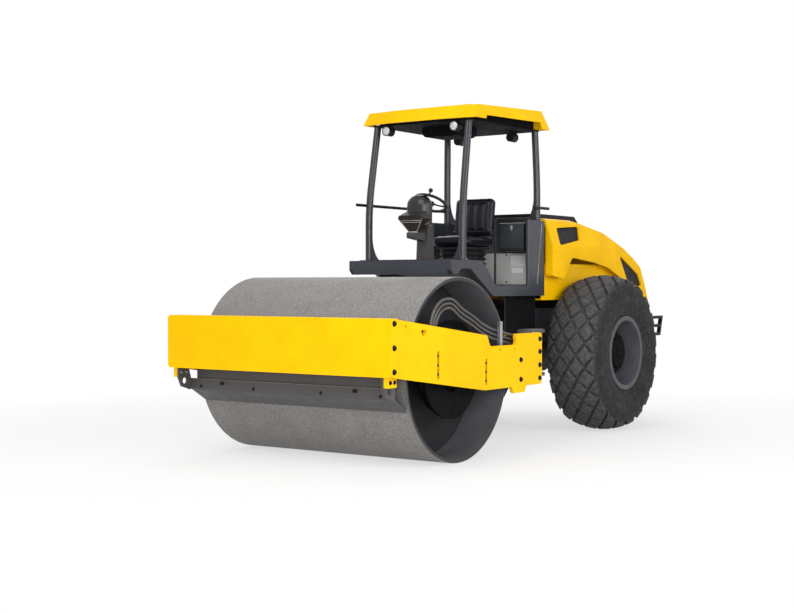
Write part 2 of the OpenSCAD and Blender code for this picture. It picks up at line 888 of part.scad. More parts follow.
// Frames with a middle bar that guard the tail lamps at both rear corners
module tail_guards() {
    front = axle_x - rail_rear;
    low = guard_top_z - guard_h;
    outer = [
        [rear_x, guard_top_z], [rear_x + 2 * guard_bar, low], [front - guard_bar, low], [front, guard_top_z]];
    y = weight_w / 2 + guard_out;
    mid = (low + guard_top_z) / 2;
    color(BLACK) both_sides() {
        translate([0, y - guard_t / 2, 0]) {
            difference() {
                xz_plate(outer, guard_t);
                xz_plate(inset(outer, guard_bar), guard_t + overrun);
            }
            translate([(rear_x + front) / 2, 0, mid])
                cube([guard_l - 2 * guard_bar - tow_t, guard_t, guard_bar], center = true);
        }
        block([front - guard_l / 2, weight_w / 2, guard_top_z - guard_bar],
              [front - guard_l / 2 + guard_bar, y - guard_t, guard_top_z]);
    }
}

module rear_axle() {
    flange_y = wheel_y - dish_out - axle_flange_t;
    color(DARK) translate([axle_x, 0, axle_z]) {
        rod_y(axle_r, 2 * flange_y);
        rod_y(diff_r, diff_w);
        both_sides() {
            translate([0, flange_y - axle_flange_t / 2, 0]) rod_y(axle_flange_r, axle_flange_t);
            translate([0, flange_y + spindle_l / 2, 0]) rod_y(spindle_r - run_gap, spindle_l);
            block([-axle_pad_l / 2, rail_y - rail_t / 2 - axle_pad_w / 2, 0],
                  [axle_pad_l / 2, rail_y - rail_t / 2 + axle_pad_w / 2, rail_arch_z - axle_z]);
        }
    }
}

// Wheels

module wheel_place() { translate([axle_x, wheel_y, axle_z]) rotate([90, 0, 0]) children(); }

// Tyre made as one skin: diamond blocks with V grooves on the crown, half blocks at the
// shoulders, and rings down both sides to the bead. Points are given by a turn in block
// pitches, a place across in lines, and a radius.
function tread_point(u, w, r) =
    let (a = 360 * u / tread_blocks) [r * cos(a), r * sin(a), w * tread_half / tread_lines];
function crown(w) = tread_r - crown_drop * pow(w / tread_lines, 2);
function even(w) = w % 2 == 0;
function mix(a, b, k) = a + k * (b - a);
module tyre() {
    n = tread_blocks;
    m = tread_lines - 1;
    h = tyre_w / 2;
    round_up = 1 / cos(90 / n);
    bead_y = bead_w / 2 - seat_gap;
    bead_r = (rim_r + rim_lip + seat_gap) * round_up;
    seat_r = (rim_r + seat_gap) * round_up;
    edge_r = crown(tread_lines) - block_depth;
    half_ring = concat([[edge_r, tread_half]],
                       [for (s = side_shares) [mix(bead_r, edge_r, s[0]), h * s[1]]],
                       [[bead_r, bead_y], [seat_r, bead_y]]);
    last = len(half_ring) - 1;
    section = concat(half_ring, [for (i = [0:last]) [half_ring[last - i][0], -half_ring[last - i][1]]]);
    rings = len(section);
    floors = [for (w = [-m:m], k = [0:n - 1])
        tread_point(k + (even(w) ? 1 / 2 : 0), w, crown(w) - block_depth)];
    ring_points = [for (s = section, k = [0:2 * n - 1])
        let (a = 180 * k / n) [s[0] * cos(a), s[0] * sin(a), s[1]]];
    tops = [for (w = [-m:m], i = [0:n - 1])
        let (u = i + (even(w) ? 0 : 1 / 2), s = block_share)
        each [tread_point(u - s / 2, w, crown(w)), tread_point(u, w + s, crown(w + s)),
              tread_point(u + s / 2, w, crown(w)), tread_point(u, w - s, crown(w - s)),
              tread_point(u, w, crown(w))]];
    edge_tops = [for (side = [-1, 1], i = [0:n - 1])
        let (mid = [i + 1 / 2, side * (m + 2 / 3)],
             ring = [[i + 1 / 2, side * m], [i, side * (m + 1)], [i + 1 / 2, side * (m + 1)],
                     [i + 1, side * (m + 1)]])
        each [for (p = ring) let (q = mix(mid, p, edge_share)) tread_point(q[0], q[1], crown(q[1]))]];
    ring_at = len(floors);
    top_at = ring_at + len(ring_points);
    edge_at = top_at + len(tops);
    function ring_id(r, k) = ring_at + r * 2 * n + (k + 2 * n) % (2 * n);
    function floor_id(w, k) = abs(w) <= m
        ? (w + m) * n + (k + n) % n
        : ring_id(w > 0 ? 0 : rings - 1, 2 * k);
    blocks = [for (w = [-m:m], i = [0:n - 1])
        let (low = even(w) ? [floor_id(w, i - 1), floor_id(w + 1, i), floor_id(w, i), floor_id(w - 1, i)]
                           : [floor_id(w, i), floor_id(w + 1, i), floor_id(w, i + 1), floor_id(w - 1, i)],
             top = top_at + 5 * ((w + m) * n + i))
        for (q = [0:3]) let (p = (q + 1) % 4)
        each [[low[q], low[p], top + p], [low[q], top + p, top + q], [top + q, top + p, top + 4]]];
    edges = [for (side = [-1, 1], i = [0:n - 1])
        let (r = side > 0 ? 0 : rings - 1,
             low = [floor_id(side * m, i), ring_id(r, 2 * i), ring_id(r, 2 * i + 1), ring_id(r, 2 * i + 2)],
             top = edge_at + 4 * ((side > 0 ? n : 0) + i))
        each concat(
            [for (q = [0:3]) let (p = (q + 1) % 4)
                each [facing(side, [low[q], low[p], top + p]), facing(side, [low[q], top + p, top + q])]],
            [facing(side, [top, top + 1, top + 2]), facing(side, [top, top + 2, top + 3])])];
    walls = [for (r = [0:rings - 2], k = [0:2 * n - 1])
        each [[ring_id(r, k), ring_id(r + 1, k + 1), ring_id(r, k + 1)],
              [ring_id(r, k), ring_id(r + 1, k), ring_id(r + 1, k + 1)]]];
    color(RUBBER) wheel_place()
        polyhedron(points = concat(floors, ring_points, tops, edge_tops),
                   faces = concat(blocks, edges, walls));
}
function facing(side, f) = side > 0 ? f : [f[0], f[2], f[1]];
module tyre_left() { tyre(); }
module tyre_right() { mirror([0, 1, 0]) tyre(); }

// Rim barrel and lips, with the dish that bolts to the hub
module rim() {
    bead = bead_w / 2;
    flange_y = wheel_y - dish_out - axle_flange_t;
    dish_in = flange_y + seat_gap - wheel_y;
    color(DARK) wheel_place() difference() {
        union() {
            rotate_extrude($fn = 96) polygon([
                [rim_r - rim_wall, -bead], [rim_r, -bead], [rim_r, bead], [rim_r - rim_wall, bead]]);
            for (side = [-1, 1]) translate([0, 0, side * (bead + rim_wall / 2)])
                difference() {
                    cylinder(r = rim_r + rim_lip, h = rim_wall, center = true, $fn = 96);
                    cylinder(r = rim_r - rim_wall, h = rim_wall + overrun, center = true, $fn = 96);
                }
            translate([0, 0, -dish_in - dish_t]) cylinder(r = rim_r - rim_wall / 2, h = dish_t, $fn = 96);
            translate([0, 0, -dish_in - dish_t - hub_cap_l]) cylinder(r = hub_cap_r, h = hub_cap_l);
        }
        translate([0, 0, -dish_in]) cylinder(r = spindle_r, h = 2 * (spindle_l + seat_gap), center = true);
    }
}
module rim_left() { rim(); }
module rim_right() { mirror([0, 1, 0]) rim(); }

// Operator station

// Side bands, the beam across the front, the floor, the plates that carry the steps,
// and the blocks it stands on
step_in_y = platform_half - step_in;
module platform() {
    band = [
        [bulkhead_x, entry_z], [bulkhead_x, entry_z - entry_band_h],
        [bulkhead_x + band_low, entry_z - entry_band_h], [bulkhead_x + band_high, floor_z - band_h],
        [bulkhead_x + band_nose, floor_z - band_h], [front_edge_x - nose_l, floor_z - edge_h],
        [front_edge_x - edge_t, floor_z - edge_h], [front_edge_x, floor_z - edge_h + edge_t],
        [front_edge_x, floor_z], [bulkhead_x + slope_top, floor_z], [bulkhead_x + slope_low, entry_z]];
    nose = [
        [edge_t - platform_half, floor_z - edge_h], [platform_half - edge_t, floor_z - edge_h],
        [platform_half - edge_t, floor_z], [edge_t - platform_half, floor_z]];
    sheet = [
        [bulkhead_x, entry_z], [bulkhead_x, entry_z - floor_t],
        [bulkhead_x + slope_low + floor_t / 2, entry_z - floor_t],
        [bulkhead_x + slope_top + floor_t / 2, floor_z - floor_t],
        [front_edge_x - edge_t, floor_z - floor_t], [front_edge_x - edge_t, floor_z],
        [bulkhead_x + slope_top, floor_z], [bulkhead_x + slope_low, entry_z]];
    color(DARK) {
        both_sides() translate([0, platform_half - edge_t / 2, 0]) xz_plate(band, edge_t);
        translate([front_edge_x - edge_t / 2, 0, 0]) yz_plate(nose, edge_t);
        xz_plate(sheet, 2 * (platform_half - edge_t));
        both_sides()
            block([bulkhead_x + step_plate_rear, step_in_y - step_plate_t, entry_z - step_low - step_t],
                  [bulkhead_x + step_plate_front, step_in_y, entry_z - floor_t]);
        for (side = [-1, 1], x = [bulkhead_x + mount_l, bulkhead_x + slope_low - mount_l])
            translate([x, side * (rail_y - rail_t / 2), (rail_top_z + entry_z - floor_t) / 2])
                cube([mount_w, mount_w, entry_z - floor_t - rail_top_z], center = true);
    }
}

// Wall behind the seat with the panels that turn its corners
module bulkhead() {
    color(DARK) {
        block([bulkhead_x - bulkhead_t, -platform_half, entry_z - entry_band_h],
              [bulkhead_x, platform_half, bulkhead_top_z]);
        both_sides() {
            block([bulkhead_x, platform_half - side_panel_t, entry_z],
                  [bulkhead_x + side_panel_l, platform_half, bulkhead_top_z]);
            block([bulkhead_x, platform_half - pillar_w, entry_z],
                  [bulkhead_x + pillar_l, platform_half - side_panel_t, bulkhead_top_z]);
        }
    }
}

// Two treads under the entry, on the outside of the platform's step plate
module entry_steps() {
    rear = axle_x + tyre_d / 2 + step_gap;
    color(SILVER)
        for (z = [entry_z - step_low, entry_z - step_high])
            block([rear, step_in_y, z - step_t], [rear + step_l, step_in_y + step_w, z]);
}

// Roof and posts

// A leaning tube made of level rings along a path
module level_tube(path, r, sides) {
    n = len(path);
    rings = [for (p = path, k = [0:sides - 1]) p + r * [cos(360 * k / sides), sin(360 * k / sides), 0]];
    walls = [for (i = [0:n - 2], k = [0:sides - 1])
        let (j = (k + 1) % sides)
        each [[i * sides + k, (i + 1) * sides + j, i * sides + j],
              [i * sides + k, (i + 1) * sides + k, (i + 1) * sides + j]]];
    low = [[for (k = [0:sides - 1]) k]];
    high = [[for (k = [0:sides - 1]) n * sides - 1 - k]];
    polyhedron(points = rings, faces = concat(walls, low, high));
}

// Bent tube with a curved web plate at its foot, cut level under the roof frame
module roof_post(foot, head, foot_z, bend_z, side) {
    base = [foot, side * post_y, foot_z];
    bend = [foot, side * post_y, bend_z];
    top = [head, side * post_top_y, roof_z - liner_t];
    from = bend - post_bend_l * unit(bend - base);
    to = bend + post_bend_l * unit(top - bend);
    arc = [for (k = [0:post_bend_steps])
        let (t = k / post_bend_steps) (1 - t) * (1 - t) * from + 2 * t * (1 - t) * bend + t * t * to];
    web = concat([[-gusset_w - post_d / 4, 0], [0, 0], [0, gusset_h]],
                 [for (k = [0:gusset_steps - 1])
                     let (t = 90 * k / gusset_steps)
                     [-gusset_w * (1 - cos(t)) - post_d / 4, gusset_h * (1 - sin(t))]]);
    level_tube(concat([base], arc, [top]), post_d / 2, post_sides);
    translate([foot, side * (post_y - post_d / 4), foot_z])
        mirror([0, side > 0 ? 0 : 1, 0]) yz_plate(web, gusset_t);
}
module roof_posts() {
    color(DARK) for (side = [-1, 1]) {
        roof_post(bulkhead_x + front_post, bulkhead_x + front_post_top, floor_z, floor_z + post_bend_h, side);
        roof_post(bulkhead_x + rear_post, bulkhead_x + rear_post_top, bulkhead_top_z,
                  bulkhead_top_z + rear_bend_h, side);
    }
}

// What is behind both of two slanting planes that sweep the roof's front corners back
module for_both_corners(front, drop) {
    intersection() {
        translate([front, roof_sweep_y, roof_z + drop]) rotate([0, 0, roof_sweep]) children();
        translate([front, -roof_sweep_y, roof_z + drop]) rotate([0, 0, -roof_sweep]) children();
    }
}

// Pressed roof: its side view crossed with its end view, with a raised field on top
module roof_form(shrink) {
    front = bulkhead_x + roof_front;
    rear = bulkhead_x + roof_rear;
    half = roof_w / 2;
    top = roof_z + roof_h + roof_rise;
    side = [
        [rear, roof_z], [front, roof_z], [front - roof_slope, roof_z + roof_h],
        [rear + roof_tail_slope, top]];
    end = [[-half, roof_z], [half, roof_z], [half - roof_side_slope, top], [roof_side_slope - half, top]];
    corner = [
        [roof_slope, -roof_h], [-3 * roof_slope, 3 * roof_h],
        [-2 * roof_w, 3 * roof_h], [-2 * roof_w, -roof_h]];
    drop = -sign(shrink) * skirt_t;
    intersection() {
        translate([0, 0, drop]) xz_plate(inset(side, shrink), 2 * roof_w);
        translate([(front + rear) / 2, 0, drop]) yz_plate(inset(end, shrink), front - rear);
        for_both_corners(front, drop) xz_plate(inset(corner, shrink), 4 * roof_w);
    }
}
module roof_field() {
    front = bulkhead_x + roof_front - roof_field_inset;
    rear = bulkhead_x + roof_rear + roof_field_inset;
    half = roof_w / 2 - roof_field_inset;
    low = roof_z + roof_h / 2;
    top = roof_z + roof_h + roof_rise + roof_field_h;
    side = [[rear, low], [front, low], [front - roof_slope, top - roof_rise], [rear + roof_slope, top]];
    end = [[-half, low], [half, low], [half - roof_slope, top], [roof_slope - half, top]];
    intersection() {
        xz_plate(side, 2 * roof_w);
        translate([(front + rear) / 2, 0, 0]) yz_plate(end, front - rear);
    }
}
module roof_shell() {
    cut = [
        [bulkhead_x + skirt_cut_rear - skirt_cut_run, roof_z - overrun],
        [bulkhead_x + skirt_cut_front + skirt_cut_run, roof_z - overrun],
        [bulkhead_x + skirt_cut_front, roof_z + skirt_cut_low],
        [bulkhead_x + skirt_cut_rear, roof_z + skirt_cut_high]];
    color(YELLOW) difference() {
        union() {
            roof_form(0);
            roof_field();
        }
        roof_form(skirt_t);
        xz_plate(cut, 2 * roof_w);
    }
}

// Liner under the roof with its bearers, and the pod in the middle
module roof_frame() {
    front = bulkhead_x + front_post_top + frame_tube / 2;
    rear = bulkhead_x + rear_post_top - frame_tube / 2;
    half = post_top_y + frame_tube / 2;
    pod = rounded([[-pod_w / 2, roof_z - pod_h], [pod_w / 2, roof_z - pod_h],
                   [pod_w / 2, roof_z], [-pod_w / 2, roof_z]], [pod_round, pod_round, 0, 0]);
    color(BLACK) {
        block([rear, -half, roof_z - liner_t], [front, half, roof_z]);
        translate([bulkhead_x + pod_back + pod_l / 2, 0, 0]) yz_plate(pod, pod_l);
        intersection() {
            both_sides()
                block([rear + frame_tube, half - bearer_in - bearer_w, roof_z],
                      [front - frame_tube, half - bearer_in, roof_z + 2 * roof_h]);
            roof_form(skirt_t);
        }
    }
}

// Round lamps that hang on stems under the liner
module roof_lamp(x, y) {
    top = roof_z - liner_t;
    z = top - lamp_drop - lamp_r;
    translate([x, y, z]) rod_x(lamp_r, lamp_l);
    translate([x, y, z]) cylinder(r = lamp_stem_r, h = top - z, $fn = 24);
}
module roof_lamps() {
    front = bulkhead_x + front_post_top + frame_tube / 2;
    rear = bulkhead_x + rear_post_top - frame_tube / 2;
    color(SILVER) for (side = [-1, 1]) {
        roof_lamp(front - lamp_front_in + lamp_stem_r, side * lamp_y);
        roof_lamp(rear + lamp_rear_in - lamp_stem_r, side * lamp_rear_y);
    }
}

// Tube along the right side, the short one at the left rear post, and the upright one at the entry
module hand_rails() {
    y = post_y + post_d / 2 + rail_d / 2 + seat_gap;
    rear = bulkhead_x + rear_post;
    z = floor_z + rail_h;
    color(BLACK) {
        bar([bulkhead_x + front_post + rail_out, -y, z], [rear - rail_out, -y, z], rail_d / 2);
        bar([rear + stub_rail_out, y, z], [rear - stub_rail_out, y, z], rail_d / 2);
        translate([bulkhead_x + grab_x, platform_half - edge_t / 2, entry_z])
            cylinder(r = grab_d / 2, h = grab_h, $fn = 24);
    }
}

// Controls and seat

// Pillar under the instruments, with the foot piece in front of it
module console() {
    x = bulkhead_x + console_x;
    pillar = [
        [x - console_l / 2, floor_z], [x + console_l / 2, floor_z],
        [x + console_l / 3, floor_z + console_h], [x - console_l / 3, floor_z + console_h]];
    front = bulkhead_x + pedal_front;
    foot_z = floor_z + pedal_low;
    foot = rounded([
        [front - pedal_l, foot_z], [front, foot_z + pedal_h / 3], [front, foot_z + pedal_h],
        [front - pedal_l, foot_z + pedal_h]], pedal_h / 6);
    color(DARK) {
        xz_plate(pillar, console_w);
        xz_plate(foot, pedal_w);
    }
}

// Domed instrument housing on the pillar, with the six-sided visor in front and the
// hole that the steering column stands in
module dashboard() {
    back = bulkhead_x + dash_back;
    front = bulkhead_x + dash_front;
    low = floor_z + console_h;
    top = floor_z + dash_h;
    dome = rounded([[back, low], [front, low], [front, top], [back, top]],
                   [0, dash_back_round / 2, dash_front_round, dash_back_round]);
    face = rounded([[-dash_w / 2, low], [dash_w / 2, low], [dash_w / 2, top], [-dash_w / 2, top]],
                   [dash_side_round / 3, dash_side_round / 3, dash_side_round, dash_side_round]);
    visor_x = bulkhead_x + visor_front;
    visor_low = floor_z + dash_low;
    visor_high = floor_z + visor_top;
    visor = [
        [front - visor_t, visor_low + visor_t], [visor_x - visor_t, visor_low],
        [visor_x, visor_high - visor_t], [front - visor_t, visor_high]];
    six = [
        [-visor_foot_w / 2, visor_low], [visor_foot_w / 2, visor_low], [visor_w / 2, floor_z + visor_mid],
        [visor_head_w / 2, visor_high], [-visor_head_w / 2, visor_high], [-visor_w / 2, floor_z + visor_mid]];
    color(BLACK) difference() {
        union() {
            intersection() {
                xz_plate(dome, dash_w);
                translate([(front + back) / 2, 0, 0]) yz_plate(face, dash_w);
            }
            intersection() {
                xz_plate(visor, visor_w);
                translate([front, 0, 0]) yz_plate(six, visor_w);
            }
        }
        steering_place() translate([0, 0, -column_l - seat_gap])
            cylinder(r = column_r + seat_gap, h = column_l);
    }
}

// Ring of the steering wheel as one closed loop
module wheel_ring() {
    points = [for (i = [0:wheel_steps - 1], k = [0:wheel_sides - 1])
        let (t = 360 * i / wheel_steps, a = 360 * k / wheel_sides, r = wheel_ring_r + wheel_ring_t * cos(a))
        [r * cos(t), r * sin(t), wheel_ring_t * sin(a)]];
    function id(i, k) = (i % wheel_steps) * wheel_sides + k % wheel_sides;
    polyhedron(points = points, faces = [for (i = [0:wheel_steps - 1], k = [0:wheel_sides - 1])
        each [[id(i, k), id(i + 1, k + 1), id(i + 1, k)], [id(i, k), id(i, k + 1), id(i + 1, k + 1)]]]);
}
module steering_place() {
    translate([bulkhead_x + wheel_x, 0, floor_z + wheel_h]) rotate([0, -wheel_tilt, 0]) children();
}
module steering_wheel() {
    hub = wheel_ring_t / 2;
    color(BLACK) steering_place() {
        translate([0, 0, -column_l]) cylinder(r = column_r, h = column_l + hub);
        wheel_ring();
        for (a = [0, 120, 240]) rotate([0, 0, a]) translate([wheel_ring_r / 2, 0, 0])
            cube([wheel_ring_r, 2 * wheel_ring_t, hub], center = true);
        rotate([0, 0, knob_turn]) translate([wheel_ring_r, 0, 0]) {
            cylinder(r = lever_r, h = lever_l, $fn = 24);
            translate([0, 0, lever_l]) sphere(r = knob_r, $fn = 24);
        }
    }
}

module seat_base() {
    x = bulkhead_x + seat_x;
    color(BLACK) block([x - seat_base_l / 2, -seat_base_w / 2, entry_z],
                       [x + seat_base_l / 2, seat_base_w / 2, seat_z - seat_t / 2]);
}

module seat_cushion() {
    x = bulkhead_x + seat_x;
    color(BLACK) xz_plate(rounded([
        [x - seat_l / 2, seat_z - seat_t / 2], [x + seat_l / 2, seat_z - seat_t / 2],
        [x + seat_l / 2, seat_z + seat_t / 2], [x - seat_l / 2, seat_z + seat_t / 2]], seat_t / 4), seat_w);
}

module seat_backrest() {
    x = bulkhead_x + seat_x - seat_l / 2;
    z = seat_z + seat_t / 2 + seat_gap;
    lean = seat_back_h * tan(seat_back_tilt);
    color(BLACK) xz_plate(rounded([
        [x, z], [x + seat_back_t, z], [x + seat_back_t - lean, z + seat_back_h], [x - lean, z + seat_back_h]],
        seat_back_t / 4), seat_w);
}

// Box for documents beside the seat
module side_box() {
    y = platform_half - pillar_w - box_w;
    z = entry_z + box_up;
    color(DARK) block([bulkhead_x, y, z], [bulkhead_x + box_l, y + box_w, z + box_h]);
}

// Engine bay and hood

module engine() {
    x = axle_x - engine_front;
    color(BLACK) block([x - engine_l, -engine_w / 2, engine_z], [x, engine_w / 2, engine_z + engine_h]);
}

// Fixed panels beside the engine, inside the tyres, on brackets from the rails
module engine_panels() {
    front = axle_x + hood_front + panel_lap;
    tail = axle_x - hood_rear + panel_tail_in;
    bend = axle_x - hood_rear + panel_bend_in;
    low = rail_top_z + panel_low;
    side = [
        [tail, low], [front, low], [front, rail_top_z + panel_high], [bend, rail_top_z + panel_high],
        [tail, rail_top_z + panel_tail]];
    color(YELLOW) both_sides() {
        translate([0, panel_y - panel_t / 2, 0]) xz_plate(side, panel_t);
        block([tail, rail_y - rail_t, low - panel_t], [front, panel_y, low]);
        for (x = [front - hood_wall, axle_x - engine_front, bend])
            block([x - 2 * rail_t, rail_y - rail_t, rail_top_z], [x, rail_y, low - panel_t]);
    }
}

// Side view of the hood: its upper line, and the lower edge arched over the tyre
hood_l = hood_front + hood_rear;
hood_h = hood_top_z - hood_tail_z;
function hood_line(shares) = [for (s = shares) [hood_tail_x + s[0] * hood_l, hood_tail_z + s[1] * hood_h]];

// The solid under the hood's upper line, down to its arched edge or open to below
module hood_form(wall, open) {
    half = hood_half_w - wall;
    shoulder = half - hood_shoulder_w;
    low = hood_tail_z - hood_h;
    top = hood_top_z - wall;
    section = rounded([
        [-half, low], [half, low], [half, top - hood_shoulder_h], [shoulder, top], [-shoulder, top],
        [-half, top - hood_shoulder_h]], [0, 0, hood_round, hood_round, hood_round, hood_round]);
    upper = hood_line(hood_top_shares);
    side = open
        ? rounded(concat(upper, [[hood_tail_x, low], [hood_front_x, low]]), concat(hood_top_radii, [0, 0]))
        : rounded(concat(upper, hood_line(hood_low_shares)), concat(hood_top_radii, hood_low_radii));
    intersection() {
        translate([wall, 0, -wall]) xz_plate(side, 2 * half);
        translate([axle_x, 0, 0]) yz_plate(section, overall_l);
    }
}

module hood_shell() {
    window = rounded(hood_line(inlet_shares), inlet_round);
    flank = rounded(hood_line(flank_shares), flank_round);
    color(YELLOW) difference() {
        union() {
            difference() {
                hood_form(0, false);
                difference() {
                    hood_form(hood_wall, true);
                    both_sides()
                        block([hood_front_x - hood_wall, hood_half_w - column_w, hood_tail_z],
                              [hood_front_x + hood_wall, hood_half_w, hood_top_z]);
                }
            }
            both_sides() translate([hinge_x, hinge_y, hinge_z]) rod_y(hinge_r, hinge_w, $fn = 32);
        }
        both_sides() {
            translate([0, hood_half_w - hood_shoulder_w / 2, 0]) xz_plate(window, 2 * hood_shoulder_w);
            translate([0, hood_half_w - hood_shoulder_w / 2, 0]) xz_plate(flank, 2 * hood_shoulder_w);
            translate([hinge_x, hinge_y, hinge_z]) rod_y(hinge_pin_r + run_gap, 2 * hinge_w, $fn = 32);
            translate([hinge_x, hinge_y + hinge_w / 2 + bracket_w / 2, hinge_z])
                cube([4 * hinge_r, bracket_w, 4 * hinge_r], center = true);
        }
        for (k = [0:louvre_count - 1])
            translate([hood_tail_x + louvre_l / 2, 0, hood_tail_z + louvre_up + k * louvre_pitch])
                cube([louvre_l, louvre_w, louvre_h], center = true);
    }
}

// Dark pieces on the hood: inlets and flank panels set back in its sides, and the raised top
module hood_trim() {
    plate = rounded(inset(hood_line(inlet_shares), -inlet_lap), inlet_round);
    flank = rounded(inset(hood_line(flank_shares), -inlet_lap), flank_round);
    rear = hood_tail_x + top_share * hood_l;
    cover = [
        [rear, hood_top_z - top_h], [hood_front_x, hood_top_z - top_h],
        [hood_front_x, hood_top_z + top_h], [rear + top_slope, hood_top_z + top_h]];
    color(BLACK) {
        intersection() {
            difference() {
                hood_form(hood_wall, true);
                hood_form(hood_wall + inlet_t, true);
            }
            both_sides() translate([0, hood_half_w - hood_shoulder_w / 2, 0]) {
                xz_plate(plate, 2 * hood_shoulder_w);
                xz_plate(flank, 2 * hood_shoulder_w);
            }
        }
        difference() {
            xz_plate(cover, top_w);
            hood_form(0, true);
        }
    }
}

// One line for each node

drum_shell();
drum_discs();
drum_exciter();
front_beam();
side_plate_left();
side_plate_right();
rear_crossmember();
scraper();
drum_carriers();
drum_buffers();
drum_motors();
drum_hoses();
hose_clamp();
pivot_yoke();
steering_rod_left();
steering_rod_right();
steering_barrels();
chassis();
counterweight();
tail_guards();
rear_axle();
tyre_left();
rim_left();
tyre_right();
rim_right();
platform();
bulkhead();
entry_steps();
roof_posts();
roof_shell();
roof_frame();
roof_lamps();
hand_rails();
console();
dashboard();
steering_wheel();
seat_base();
seat_cushion();
seat_backrest();
side_box();
engine();
engine_panels();
hood_shell();
hood_trim();
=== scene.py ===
"""Looks of the single drum soil roller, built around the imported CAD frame.

Lengths are in metres in the frame's axes: +X forward, +Y the machine's left, +Z up.
"""
import json
import math

import bmesh
import bpy
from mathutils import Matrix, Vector


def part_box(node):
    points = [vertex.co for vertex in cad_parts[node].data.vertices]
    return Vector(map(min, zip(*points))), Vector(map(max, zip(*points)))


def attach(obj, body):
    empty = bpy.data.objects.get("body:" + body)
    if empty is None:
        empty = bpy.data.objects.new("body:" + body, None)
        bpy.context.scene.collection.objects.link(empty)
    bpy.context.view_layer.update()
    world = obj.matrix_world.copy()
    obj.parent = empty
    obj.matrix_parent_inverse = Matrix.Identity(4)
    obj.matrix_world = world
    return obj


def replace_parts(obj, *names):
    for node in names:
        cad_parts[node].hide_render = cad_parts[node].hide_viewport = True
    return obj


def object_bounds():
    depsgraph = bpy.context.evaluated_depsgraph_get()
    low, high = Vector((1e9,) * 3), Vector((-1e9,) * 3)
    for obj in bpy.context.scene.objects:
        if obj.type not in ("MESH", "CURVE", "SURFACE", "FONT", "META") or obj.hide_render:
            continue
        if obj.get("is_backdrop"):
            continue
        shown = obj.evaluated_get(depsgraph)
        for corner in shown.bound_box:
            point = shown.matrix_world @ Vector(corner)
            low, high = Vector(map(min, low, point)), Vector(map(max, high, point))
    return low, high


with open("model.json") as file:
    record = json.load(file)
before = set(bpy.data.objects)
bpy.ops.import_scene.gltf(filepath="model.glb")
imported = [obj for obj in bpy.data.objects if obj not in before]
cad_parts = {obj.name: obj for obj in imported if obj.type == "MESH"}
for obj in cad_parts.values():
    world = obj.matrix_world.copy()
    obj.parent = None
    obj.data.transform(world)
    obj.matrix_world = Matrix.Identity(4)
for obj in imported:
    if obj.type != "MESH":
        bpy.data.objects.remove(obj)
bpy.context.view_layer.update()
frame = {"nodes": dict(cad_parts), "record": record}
NODES = frame["nodes"]

# Places of the CAD model that the pieces are set against
DRUM_X, DRUM_Z, DRUM_R, DRUM_HALF = 1.84, 0.75, 0.75, 1.065
AXLE_X, AXLE_Z = -1.17, 0.765
WHEEL_Y, DISH_Y = 0.8325, 0.7828
PLATE_Y, PLATE_IN_Y = 1.15, 1.12
FLOOR_Z, ROOF_Z = 1.652, 2.915
REAR, FRONT = "rear_frame", "front_frame"
SIDES = ((1, "left"), (-1, "right"))
FORWARD, LEFTWARD, UPWARD = (1, 0, 0), (0, 1, 0), (0, 0, 1)


# Camera, light and floor

PHOTO_W, PHOTO_FOCAL_PX, SENSOR_MM = 794, 1353.35, 36
CAMERA_AT = (10.9864, 6.9817, 1.4369)
CAMERA_YAW, CAMERA_PITCH = math.radians(215.512), math.radians(-0.93)
CAMERA_REACH = 200
# Lamps by name, place, target, width and height, and power
LIGHTS = [
    ("key", (7.5, 0.5, 6.5), (0.3, 0, 1.0), (5, 5), 310),
    ("fill", (10.0, 7.5, 2.2), (0.5, 0, 1.2), (7, 3.5), 550),
    ("side", (1.5, 9.0, 4.0), (0.0, 0, 1.0), (6, 4), 365),
    ("top", (-1.0, -1.0, 9.0), (-0.5, 0, 1.0), (6, 6), 170),
    ("back", (-8.0, -4.0, 6.0), (-0.5, 0, 1.2), (5, 5), 340),
]
SKY, SKY_POWER = (0.9, 0.95, 1.0, 1), 0.33
FLOOR_R, FLOOR_GREY = 60, (0.86, 0.86, 0.86, 1)
# The floor fades to white with the distance from its middle
FLOOR_FADE = {"From Min": 2.2, "From Max": 6.5, "To Min": 0.62, "To Max": 1.0}


def add_aimed(name, data, place, direction):
    """Puts a camera or a lamp into the scene, looking along a direction."""
    obj = bpy.data.objects.new(name, data)
    obj.location = place
    obj.rotation_mode = "QUATERNION"
    obj.rotation_quaternion = Vector(direction).to_track_quat("-Z", "Y")
    bpy.context.scene.collection.objects.link(obj)
    return obj


def make_camera():
    data = bpy.data.cameras.new("camera")
    data.sensor_width = SENSOR_MM
    data.lens = SENSOR_MM * PHOTO_FOCAL_PX / PHOTO_W
    data.clip_end = CAMERA_REACH
    level = math.cos(CAMERA_PITCH)
    forward = (level * math.cos(CAMERA_YAW), level * math.sin(CAMERA_YAW), math.sin(CAMERA_PITCH))
    bpy.context.scene.camera = add_aimed("camera", data, CAMERA_AT, forward)


def make_lights():
    for name, place, target, size, power in LIGHTS:
        data = bpy.data.lights.new(name, "AREA")
        data.shape = "RECTANGLE"
        data.size, data.size_y = size
        data.energy = power
        add_aimed(name, data, place, Vector(target) - Vector(place))


def seen_directly(tree):
    """1 for the camera, mirrors and glass, and 0 for the light that falls on things."""
    path = tree.nodes.new("ShaderNodeLightPath")
    total = path.outputs["Is Camera Ray"]
    for name in ("Is Glossy Ray", "Is Transmission Ray"):
        add = tree.nodes.new("ShaderNodeMath")
        add.operation = "MAXIMUM"
        tree.links.new(total, add.inputs[0])
        tree.links.new(path.outputs[name], add.inputs[1])
        total = add.outputs[0]
    return total


